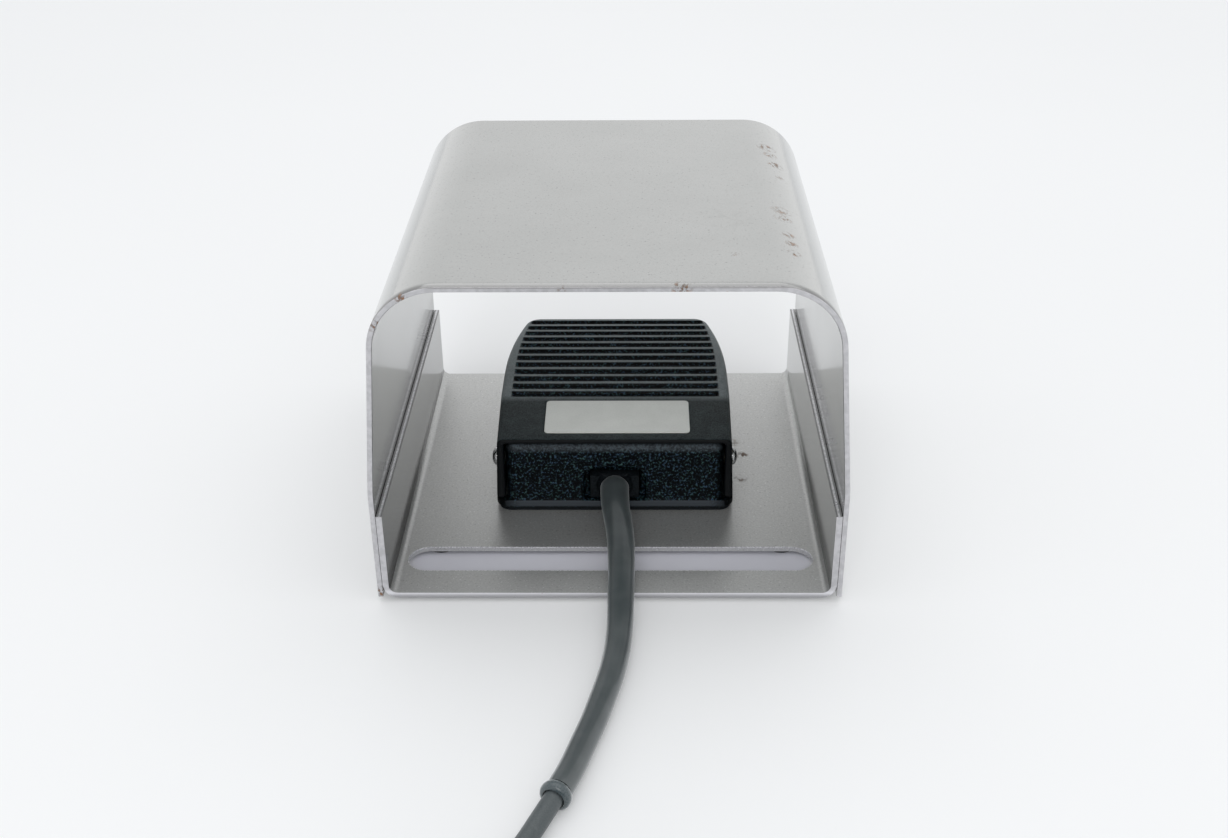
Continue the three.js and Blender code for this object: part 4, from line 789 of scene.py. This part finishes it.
def speckle(finish):
    """Height and colour of a black wrinkle coat: black hollows, and painted highlights, blue and green, on
    its crests.
    """
    height = finish.noise(0.9, 3, 0.65) * 0.8 + finish.noise(2.6, 2, 0.5, offset=0.4) * 0.2
    tint = finish.noise(1.1, 1, offset=0.9).span(0.42, 0.58)
    bright = finish.mix(tint, (0.038, 0.07, 0.11), (0.044, 0.09, 0.09))
    crests = height.span(0.5, 0.63, kind="SMOOTHSTEP")
    return height, finish.mix(crests, (0.0002, 0.0008, 0.0016), bright)


def housing_coat():
    """The wrinkle coat with a painted highlight along its top edge and painted shade, near black, at its
    sides and corners, and the smooth strip along the flange, darker towards its bottom.
    """
    finish = Finish("housing_coat", 0.46, 0.0, specular=0.07)
    x, y, z = finish.axes(SWITCH_ORIGIN)
    height, colour = speckle(finish)
    beside = abs(x)
    strip = (y < 0.25 - FLANGE_STEP) * (z > HOUSING_LOW + 0.5) * (z < FLANGE_TOP + 0.1)
    strip = strip * (beside < 42.4) * beside.span(36, 42.4, 1, 0.3)
    # painted highlight along the housing's rounded top edge
    crest = z.span(HOUSING_TOP - 3.6, HOUSING_TOP - 1.8) * height.span(0.4, 0.56, 0.3, 0.8)
    colour = finish.mix(crest, colour, (0.07, 0.084, 0.096))
    # painted shade: near black at the housing's sides and corners, where the smooth strip also fades out
    colour = finish.mix(beside.span(38.2, 41.6) * 0.85, colour, (0.0006, 0.0008, 0.001))
    smooth_coat = finish.mix(z.span(2.1, 2.9), (0.024, 0.028, 0.034), (0.05, 0.058, 0.068))
    return finish.set(
        Base_Color=finish.mix(strip, colour, smooth_coat),
        Roughness=strip.span(0, 1, 0.42, 0.32),
        Normal=finish.bump(height * (1 - strip), 0.2, 0.9),
    )


def treadle_coat():
    """Satin on top with painted highlights on the ribs and a painted sheen toward the toe, the wrinkle
    coat in the grooves and down the skirts, and painted shade, near black, on the lip and the skirts'
    cord-side ends.
    """
    finish = Finish("treadle_coat", 0.42, 0.0, specular=0.1)
    x, y, z = finish.axes(SWITCH_ORIGIN)
    height, dark = speckle(finish)
    run = y - CROWN_Y
    depth = (CROWN_RADIUS**2 - run * run).root() + (CROWN_Z - CROWN_RADIUS) - z
    past = (y - GROOVE_TAPER_Y).most(0.0)
    reach = abs(x) + past * past * (0.5 / GROOVE_TAPER_RADIUS)
    rows = y > FIRST_GROOVE_Y - GROOVE_PITCH * 0.4
    rows = rows * (y < FIRST_GROOVE_Y + GROOVE_PITCH * (GROOVES - 0.6))
    groove = (y - FIRST_GROOVE_Y).ping_pong(GROOVE_PITCH / 2)
    groove = groove.span(GROOVE_PITCH * 0.33, GROOVE_PITCH * 0.39, 1, 0)
    groove = groove * reach.span(GROOVE_HALF + 0.1, GROOVE_HALF + 0.5, 1, 0) * rows
    sunk = groove.most(depth.span(1.8, 3.5))
    # painted shade: the lip's front and the skirts' cord-side ends near black
    lip = (y < 0.45).most((y < 1.8) * (depth > 2.2))
    patch = finish.noise(5, 3, 0.6, offset=0.77)
    shade = (finish.noise(0.45, 3, 0.6, offset=0.13) * 0.7 + patch * 0.3).span(0.38, 0.62)
    plain_top = finish.mix(shade, (0.009, 0.015, 0.017), (0.056, 0.07, 0.073))
    # painted highlight: the ribs much paler than the plain top
    ribs = finish.mix(shade, (0.145, 0.175, 0.182), (0.27, 0.305, 0.315))
    ribs_start = FIRST_GROOVE_Y - 1
    top = finish.mix(y.span(ribs_start - 5, ribs_start), plain_top, ribs)
    # painted sheen: the top paler toward the toe
    top = finish.mix(y.span(ribs_start, 100, 0, 0.25), top, (0.19, 0.21, 0.21))
    return finish.set(
        Base_Color=finish.mix(lip, finish.mix(sunk, top, dark), (0.004, 0.005, 0.006)),
        Roughness=patch.span(0.35, 0.65, 0.38, 0.48),
        Normal=finish.bump(height, 0.14, 0.8),
    )


def vinyl(name, dark, light, roughness, sheen):
    """Smooth vinyl whose faint bloom shows paler at grazing angles."""
    finish = Finish(name, roughness, coat=0.6)
    fine, broad = finish.noise(0.5, 3), finish.noise(11, 2, offset=0.5)
    return finish.set(
        Base_Color=finish.mix(broad.span(0.38, 0.62), dark, light),
        Roughness=fine.span(0.35, 0.65, roughness - 0.04, roughness + 0.04),
        Normal=finish.bump(fine, 0.008),
        Sheen_Weight=sheen, Sheen_Roughness=0.35, Sheen_Tint=(0.93, 0.97, 0.97, 1), Coat_Roughness=0.12,
    )


def cord_jacket():
    """Satin vinyl with fine scuffs."""
    finish = Finish("cord_jacket", 0.4)
    fine, scuffs = finish.noise(0.4, 3), finish.noise(3.5, 4, 0.6).span(0.55, 0.7)
    colour = finish.mix(fine.span(0.35, 0.65), (0.066, 0.079, 0.083), (0.088, 0.102, 0.106))
    return finish.set(
        Base_Color=finish.mix(scuffs * 0.4, colour, (0.15, 0.16, 0.165)),
        Roughness=scuffs.span(0, 1, 0.38, 0.52),
        Normal=finish.bump(fine, 0.015),
    )


def deep_black(name):
    """Matt black, a little dusty."""
    finish = Finish(name, 0.55, specular=0.1)
    grain = finish.noise(0.6, 3)
    return finish.set(
        Base_Color=finish.mix(grain.span(0.35, 0.65), (0.002, 0.003, 0.004), (0.012, 0.016, 0.019)),
        Normal=finish.bump(grain, 0.03),
    )


def pivot_steel():
    """Bright heads; the shanks are near black, painted shade where they show in the gap beside the skirts.
    """
    finish = Finish("pivot_steel", 0.2, 1.0)
    # painted shade: the shanks near black
    shank = abs(finish.axes(SWITCH_ORIGIN)[0]) < TREADLE_HALF - 0.05
    scratches = finish.noise(0.7, 3, 0.6)
    colour = finish.mix(scratches.span(0.36, 0.64), (0.56, 0.57, 0.58), (0.68, 0.69, 0.7))
    return finish.set(
        Base_Color=finish.mix(shank, colour, (0.004, 0.005, 0.006)),
        Metallic=1.0 - shank,
        Roughness=shank.span(0, 1, 0.2, 0.7),
        Normal=finish.bump(scratches, 0.006),
    )


# the record's slots: dark and light colour, roughness, grain, relief, metallic, patch
PLAIN_FINISHES = {
    "weld_metal": ((0.2, 0.195, 0.19), (0.36, 0.35, 0.34), 0.42, 0.8, 0.06, 0.9),
    "black_steel": ((0.014, 0.016, 0.017), (0.024, 0.026, 0.027), 0.4, 0.5, 0.03),
    "bright_steel": ((0.56, 0.57, 0.58), (0.68, 0.69, 0.7), 0.2, 0.7, 0.006, 1.0),
    "spring_steel": ((0.26, 0.27, 0.28), (0.36, 0.37, 0.38), 0.32, 0.5, 0.008, 1.0),
    "brass": ((0.5, 0.36, 0.13), (0.62, 0.47, 0.19), 0.3, 0.6, 0.008, 1.0),
    "black_rubber": ((0.006, 0.008, 0.009), (0.014, 0.017, 0.018), 0.62, 0.5, 0.03),
    "label_film": ((0.84, 0.86, 0.82), (0.92, 0.94, 0.9), 0.42, 0.5, 0.006, 0.0, 9),
    "black_plastic": ((0.008, 0.009, 0.01), (0.016, 0.017, 0.018), 0.42, 0.4, 0.03),
    "red_plastic": ((0.22, 0.014, 0.012), (0.3, 0.02, 0.016), 0.35, 0.6, 0.01),
    "white_plastic": ((0.62, 0.62, 0.59), (0.72, 0.72, 0.69), 0.36, 0.6, 0.01),
}
FINISHES = {
    "plated_steel": plated_steel("plated_steel", 0.13, 0.13, HOOD_MARKS),
    "black_casting": housing_coat(),
    "grey_rubber": vinyl("grey_rubber", (0.051, 0.063, 0.066), (0.067, 0.08, 0.083), 0.38, 0.32),
    "cord_jacket": cord_jacket(),
    **{slot: plain(slot, *look) for slot, look in PLAIN_FINISHES.items()},
}
OWN_FINISH = {
    # painted shade: the gland and the bottom plate are made blacker than their slots, for the shaded notch
    # and the contact shadow under the housing
    "cord_gland": deep_black("gland_rubber"),
    "bottom_plate": deep_black("plate_black"),
    "guard_tray": plated_steel("tray_steel", 0.13, 0.4, TRAY_MARKS, cut_edges),
    "treadle": treadle_coat(),
    "pivot_screw_left": pivot_steel(),
    "pivot_screw_right": pivot_steel(),
    "relief_ring": vinyl("ring_vinyl", (0.044, 0.062, 0.068), (0.06, 0.08, 0.088), 0.28, 0.5),
}


dressed = set()


def adopt(thing, *nodes):
    """thing stands for these CAD nodes: it rides with them, and takes their slot and finish."""
    dressed.update(nodes)
    slot = SLOT_OF[nodes[0]]
    thing.data.materials.clear()
    thing.data.materials.append(OWN_FINISH.get(nodes[0], FINISHES[slot]).material)
    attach(thing, BODY_OF[nodes[0]])
    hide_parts(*nodes)
    return thing


def copied(node, width, segments=2):
    """The node's own shape with its edges rounded."""
    source = NODES[node].data
    faces = [list(face.vertices) for face in source.polygons]
    thing = piece(node + "_piece", [v.co for v in source.vertices], faces)
    return adopt(soften(thing, width, segments), node)


# ---- cord ----

def coil_stations():
    """The coil's line, a station in each step of its loops, in metres."""
    radius = COIL_RADIUS + COIL_PITCH * COIL_LOOPS / 2
    height = CORD_RADIUS + TIE_THICK + GAP
    direction, polar = -1, [(radius, height)]
    climb = COIL_STEPS // 2
    for layer in range(COIL_LAYERS):
        last = layer == COIL_LAYERS - 1
        for _ in range(round((COIL_LAST_LOOPS if last else COIL_LOOPS) * COIL_STEPS)):
            radius += direction * COIL_PITCH / COIL_STEPS
            polar.append((radius, height))
        for i in range(0 if last else climb):
            radius += direction * COIL_PITCH / COIL_STEPS * (1 if i < climb / 2 else -1)
            height += COIL_PITCH / climb
            polar.append((radius, height))
        direction = -direction
    stations = []
    for i, (r, z) in enumerate(polar):
        angle = COIL_START_ANGLE + 2 * pi * i / COIL_STEPS
        stations.append(Vector((COIL_X + r * cos(angle), COIL_Y + r * sin(angle), z)) * MM)
    ahead = (stations[0] - stations[1]).normalized() * 2 * CORD_RADIUS * MM
    behind = (stations[-1] - stations[-2]).normalized() * 2 * CORD_RADIUS * MM
    return [stations[0] + ahead, *stations, stations[-1] + behind]


def dress_cord():
    """The whole cord as one tube, with its sleeve, ring, tie and plug."""
    coil = coil_stations()
    meet = Vector(PLUG_START) * MM - Vector((GAP * MM, 0, 0))
    before = meet - Vector((2 * CORD_RADIUS * MM, 0, 0))
    path = smooth_path([ROUTE_START, *RUN_POINTS, *coil, *TAIL_POINTS, before, meet], 5)
    cord = tube("cord", path, lambda share: CORD_RADIUS, 18)
    adopt(cord, "cord_run", "cord_coil", "cord_tail")

    sleeve_path = part_of_path(path, 0.0, RELIEF_LENGTH * MM)
    sleeve = tube("bend_relief_piece", sleeve_path, sleeve_radius, 32, RELIEF_BORE)
    adopt(sleeve, "bend_relief")
    ring_path = part_of_path(path, (RELIEF_LENGTH + GAP) * MM, RING_WIDTH * MM)
    ring = adopt(tube("relief_ring_piece", ring_path, ring_radius, 32, RELIEF_BORE), "relief_ring")
    tie = adopt(coil_tie(), "coil_tie")
    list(plug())


def sleeve_radius(share):
    body = RELIEF_END + (RELIEF_START - RELIEF_END) * (1 - share) ** RELIEF_TAPER
    from_start = share * RELIEF_LENGTH
    return body - RELIEF_NOSE * max(0, 1 - from_start / RELIEF_NOSE_LENGTH) ** 2


def ring_radius(share):
    return RING_RADIUS - RING_CROWN + RING_CROWN * sqrt(max(0, 1 - (2 * share - 1) ** 2))


def coil_tie():
    """A flat band round the bundle of turns."""
    half_wide = COIL_PITCH * COIL_LOOPS / 2 + COIL_PITCH / 4 + CORD_RADIUS + GAP
    half_high = COIL_PITCH * (COIL_LAYERS - 1) / 2 + CORD_RADIUS + GAP
    centre = Vector((
        COIL_X + COIL_RADIUS * cos(TIE_ANGLE),
        COIL_Y + COIL_RADIUS * sin(TIE_ANGLE),
        half_high + TIE_THICK,
    ))
    turn = Matrix.Rotation(TIE_ANGLE, 3, "Z")

    def place(u, v, w):
        return centre + turn @ Vector((u, w, v))

    rings, points = [], []
    profile = [(0, -1), (TIE_THICK, -1), (TIE_THICK, 1), (0, 1)]
    for out, side in profile:
        outline = rounded_box(half_wide + out, half_high + out, CORD_RADIUS + out, 10)
        rings.append(range(len(points), len(points) + len(outline)))
        points += [place(u, v, side * TIE_WIDTH / 2) * MM for u, v in outline]
    band = piece("coil_tie_piece", points, ring_faces(rings + rings[:1]))
    return soften(band, 0.2)


def plug():
    """A phone plug: ribbed grip, collar, shaft, insulator and tip, end to end along +X."""
    radius, end = GRIP_RADIUS, GRIP_LENGTH
    grip = [(0, 0), (3.6, 0), (4.1, 0.3), (4.3, 1), (5.4, 6), (6.3, 8.4), (6.65, 9.6), (radius, 11)]
    for k in range(GRIP_RIBS):
        at = 13 + 2.6 * k
        grip += [(radius, at), (radius - 0.5, at + 0.4), (radius - 0.5, at + 1.1), (radius, at + 1.5)]
    grip += [(radius, end - 2), (radius - 0.3, end - 1), (radius - 1, end), (0, end)]
    collar = [
        (0, 0), (COLLAR_RADIUS - 0.3, 0), (COLLAR_RADIUS, 0.3), (COLLAR_RADIUS, COLLAR_LENGTH - 0.3),
        (COLLAR_RADIUS - 0.3, COLLAR_LENGTH), (0, COLLAR_LENGTH),
    ]
    shaft, insulator = (
        [(0, 0), (PLUG_RADIUS, 0), (PLUG_RADIUS, length), (0, length)]
        for length in (SHAFT_LENGTH, INSULATOR_LENGTH)
    )
    tip = [
        (0, 0), (PLUG_RADIUS, 0), (PLUG_RADIUS, 1.1), (2.75, 2), (2.35, 2.7), (2.3, 3), (2.4, 3.5),
        (2.85, 4.3), (PLUG_RADIUS, 5), (3.0, 5.7), (2.4, 6.9), (1.6, 7.6), (0.7, 7.95), (0, 8),
    ]
    pieces, start = [], 0
    for part, profile in (
        ("grip", grip), ("collar", collar), ("shaft", shaft), ("insulator", insulator), ("tip", tip)
    ):
        profile = [(out, start + along) for out, along in profile]
        start = profile[-1][1] + GAP
        made = turned(f"plug_{part}_piece", profile, PLUG_START, (1, 0, 0), 48)
        pieces.append(adopt(made, f"plug_{part}"))
    return pieces


# ---- guard ----

def dress_guard():
    half = (GUARD_WIDTH - SHEET) / 2
    top = GUARD_HEIGHT - SHEET / 2
    top_half = half - HOOD_LEAN * (top - HOOD_KINK_HEIGHT)
    line = [(-half, 0), (-half, HOOD_KINK_HEIGHT), (-top_half, top)]
    line += [(-x, z) for x, z in line[::-1]]
    corner = HOOD_CORNER - SHEET / 2
    section = bent_sheet(line, [HOOD_KINK_RADIUS, corner, corner, HOOD_KINK_RADIUS], SHEET, 20)
    section = [(x, z + FOOT_HEIGHT) for x, z in section]
    levels = [CORD_EDGE, *(CORD_EDGE + v for v in ROLL_LEVELS), TOE_EDGE]
    hood = prism("guard_hood_piece", section, levels, rolled_edge)
    adopt(soften(hood, 0.35, 3, 40, flat=0.01), "guard_hood")

    half = GUARD_WIDTH / 2 - SHEET - GAP - SHEET / 2
    line = [(-half, TRAY_FLANGE), (-half, SHEET / 2), (half, SHEET / 2), (half, TRAY_FLANGE)]
    bend = TRAY_BEND - SHEET / 2
    section = [(x, z + FOOT_HEIGHT) for x, z in bent_sheet(line, [bend, bend], SHEET, 10)]
    levels = [CORD_EDGE, CORD_EDGE + BURR_LEVEL, TOE_EDGE - BURR_LEVEL, TOE_EDGE]
    tray = prism("guard_tray_piece", section, levels, burred_edge)
    outline = rounded_box(SLOT_LENGTH / 2, SLOT_WIDTH / 2, SLOT_WIDTH / 2, 14)
    tools = [prism("slot", [(x, y + SLOT_Y) for x, y in outline], [0, 2 * TRAY_TOP])]
    for _, x, y in SCREW_SPOTS:
        rim = [(0, 0), (SCREW_SHANK + SCREW_GAP, 0), (SCREW_SHANK + SCREW_GAP, 8), (0, 8)]
        tools.append(turned("hole", rim, in_switch(x, y, -6), (0, 0, 1), 24))
    adopt(soften(carve(tray, *tools), 0.4, 2, 40, flat=0.01), "guard_tray")

    for side in ("left", "right"):
        for end in ("cord", "toe"):
            copied(f"weld_{side}_{end}", 0.3)
            dress_foot(f"foot_{side}_{end}")


def dress_foot(node):
    low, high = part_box(node)
    centre = (low + high) / 2 / MM
    top = FOOT_HEIGHT - GAP
    foot = FOOT_RADIUS - FOOT_DRAFT
    profile = [
        (0, 0.5), (2.2, 0.5), (2.6, 0.1), (2.8, 0), (foot - 0.3, 0), (foot, 0.3),
        (FOOT_RADIUS - 0.1, top - 0.2), (FOOT_RADIUS - 0.3, top), (0, top),
    ]
    adopt(turned(node + "_piece", profile, (centre.x, centre.y, 0), (0, 0, 1), 40), node)


# ---- switch ----

def screw(node, origin, axis, shank, length, head, height, slot_turn=0.0):
    """A slotted round-head screw: its head behind origin, its shank along axis."""
    dome = [(head * sin(a), -height * cos(a)) for a in np.linspace(0, pi / 2, 9)[1:]]
    profile = [
        (0, -height), *dome, (head, 0), (head - 0.2, 0.0), (shank, 0), (shank, length - 0.4),
        (shank - 0.4, length), (0, length),
    ]
    profile = list(dict.fromkeys((round(r, 5), round(h, 5)) for r, h in profile))
    body = turned(node + "_piece", profile, origin, axis, 40)
    turn = upright_to(axis)
    twist = Matrix.Rotation(slot_turn, 3, "Z")

    def place(u, v, w):
        return Vector(origin) + turn @ (twist @ Vector((u, v, w)))

    half = DRIVER_SLOT / 2
    outline = [(-head - 1, -half), (head + 1, -half), (head + 1, half), (-head - 1, half)]
    blade = prism("blade", outline, [-height - 1, -height + DRIVER_SLOT], place)
    return adopt(soften(carve(body, blade), 0.08, 1, 40, flat=0.01), node)


def dress_switch():
    for node, field, high, cell, keep in (
        ("treadle", treadle_field, (46, 104.5, 35.5), (0.7, 0.42, 0.42), 0.4),
        ("switch_housing", housing_field, (46, 105, 30), (0.7, 0.5, 0.5), 0.35),
    ):
        adopt(cast(node + "_piece", field, (-46, -1.5, 0), high, cell, keep), node)

    outline = rounded_box(LABEL_WIDTH / 2, LABEL_LENGTH / 2, LABEL_CORNER, 10)
    seat = Matrix.Rotation(LABEL_TILT, 3, "X")
    origin = Vector(in_switch(LABEL_X, LABEL_Y, float(crown(LABEL_Y))))
    label = prism(
        "label_plate_piece", outline, [LABEL_PROUD - LABEL_THICK, LABEL_PROUD],
        lambda u, v, w: origin + seat @ Vector((u, v, w)),
    )
    adopt(soften(label, 0.1, 2, 40, flat=0.01), "label_plate")

    for side, sign in (("left", -1), ("right", 1)):
        head_at = in_switch(sign * (TREADLE_HALF + GAP), PIVOT_Y, PIVOT_Z)
        screw(
            f"pivot_screw_{side}", head_at, (-sign, 0, 0), PIVOT_SHANK, PIVOT_LENGTH,
            PIVOT_HEAD, PIVOT_HEAD_HEIGHT, 0.5,
        )
        bore = PIVOT_SHANK + SCREW_GAP
        outer = bore + BUSHING_WALL
        profile = [(bore, 0), (outer, 0), (outer, TREADLE_WALL), (bore, TREADLE_WALL), (bore, 0)]
        start = in_switch(sign * (TREADLE_HALF - TREADLE_WALL), PIVOT_Y, PIVOT_Z)
        bushing = turned(f"pivot_bushing_{side}_piece", profile, start, (sign, 0, 0), 36)
        adopt(soften(bushing, 0.08, 1, 40, flat=0.01), f"pivot_bushing_{side}")
    under = -SHEET - GAP
    for name, x, y in SCREW_SPOTS:
        screw(
            f"housing_screw_{name}", in_switch(x, y, under), (0, 0, 1), SCREW_SHANK,
            SCREW_LENGTH - under, SCREW_HEAD, SCREW_HEAD_HEIGHT, x * y,
        )
    for node in ("bottom_plate", "housing_gasket"):
        copied(node, 0.25)
    gland = copied("cord_gland", 0.25)
    mouth = in_switch(0, 0, CORD_AXIS_Z)
    sunk = GLAND_FRONT + GLAND_SUNK
    around = [(0, 0), (GLAND_MOUTH, 0), (GLAND_MOUTH, sunk), (0, sunk)]
    flattened(smooth(carve(gland, turned("mouth", around, mouth, (0, 1, 0), 40))))


def dress_works():
    """The spring, and every node inside the closed housing that has no piece yet."""
    spring_top = float(crown(SPRING_Y)) - TREADLE_PLATE - GAP
    count = SPRING_TURNS * 28
    path = []
    for i in range(count + 1):
        angle = 2 * pi * SPRING_TURNS * i / count
        height = np.interp(i / count, [0, 1], [SPRING_Z + SPRING_WIRE, spring_top - SPRING_WIRE])
        at = in_switch(SPRING_RADIUS * cos(angle), SPRING_Y + SPRING_RADIUS * sin(angle), height)
        path.append(Vector(at) * MM)
    spring = adopt(tube("return_spring_piece", path, lambda share: SPRING_WIRE, 10), "return_spring")
    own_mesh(spring)
    for node in [node for node in NODES if node not in dressed]:
        copied(node, 0.08, 1)


# ---- floor and light ----

def make_floor():
    """A pale floor that shows the shadow, with painted shade beneath the guard, and fades into the
    backdrop far off.
    """
    floor = piece("floor", [(-4, -4, 0), (4, -4, 0), (4, 4, 0), (-4, 4, 0)], [(0, 1, 2, 3)])
    finish = Finish("floor", 0.75, specular=0.2)
    x, y, _ = finish.axes()
    # painted shade: the floor under the guard's footprint darker and bluer
    beneath = abs(x).span(72, 82, 1, 0) * abs(y).span(76, 84, 1, 0)
    pale = finish.mix(finish.noise(400, 2), (0.88, 0.885, 0.89), (0.91, 0.915, 0.92))
    finish.set(Base_Color=finish.mix(beneath, pale, (0.8, 0.8, 0.87)))
    glow = finish.add("Emission", Color=(0.91, 0.915, 0.92, 1), Strength=1.0)
    lift = finish.seen_or_mirrored() * (1 - beneath) * 0.16
    far = abs(x).most(abs(y)).span(1100, 2600) * finish.seen("Camera")
    finish.feed(finish.out.inputs["Surface"], finish.blend(lift.most(far), finish.shader, glow))
    floor.data.materials.append(finish.material)


def make_light():
    """A dim even sky, shown white, and two soft lamps."""
    world = bpy.data.worlds.new("world")
    bpy.context.scene.world = world
    sky = Nodes(world)
    split = sky.add("SeparateXYZ", Vector=sky.add("TexCoord").outputs["Generated"])
    fade = Value(sky, split.outputs["Z"]).span(0.02, 0.5, 1.0, 0.84)
    shown = sky.add("Background", Color=(0.96, 0.965, 0.97, 1), Strength=fade)
    lighting = sky.add("Background", Color=(0.97, 0.985, 1, 1), Strength=0.82)
    sky.add("OutputWorld", Surface=sky.blend(sky.seen_or_mirrored(), lighting, shown))

    for name, place, size, power in (
        ("key", (0.1, 0.5, 1.7), 2.0, 6.5),
        ("front", (-0.1, -1.3, 1.1), 0.7, 5.0),
    ):
        data = bpy.data.lights.new(name, "AREA")
        data.shape = "SQUARE"
        data.size = size
        data.energy = power
        lamp = placed(name, data)
        lamp.location = place
        lamp.rotation_euler = (-Vector(place)).to_track_quat("-Z", "Y").to_euler()


make_camera()
dress_cord()
make_floor()
make_light()
dress_guard()
dress_switch()
dress_works()

bpy.context.scene.view_settings.view_transform = "Standard"
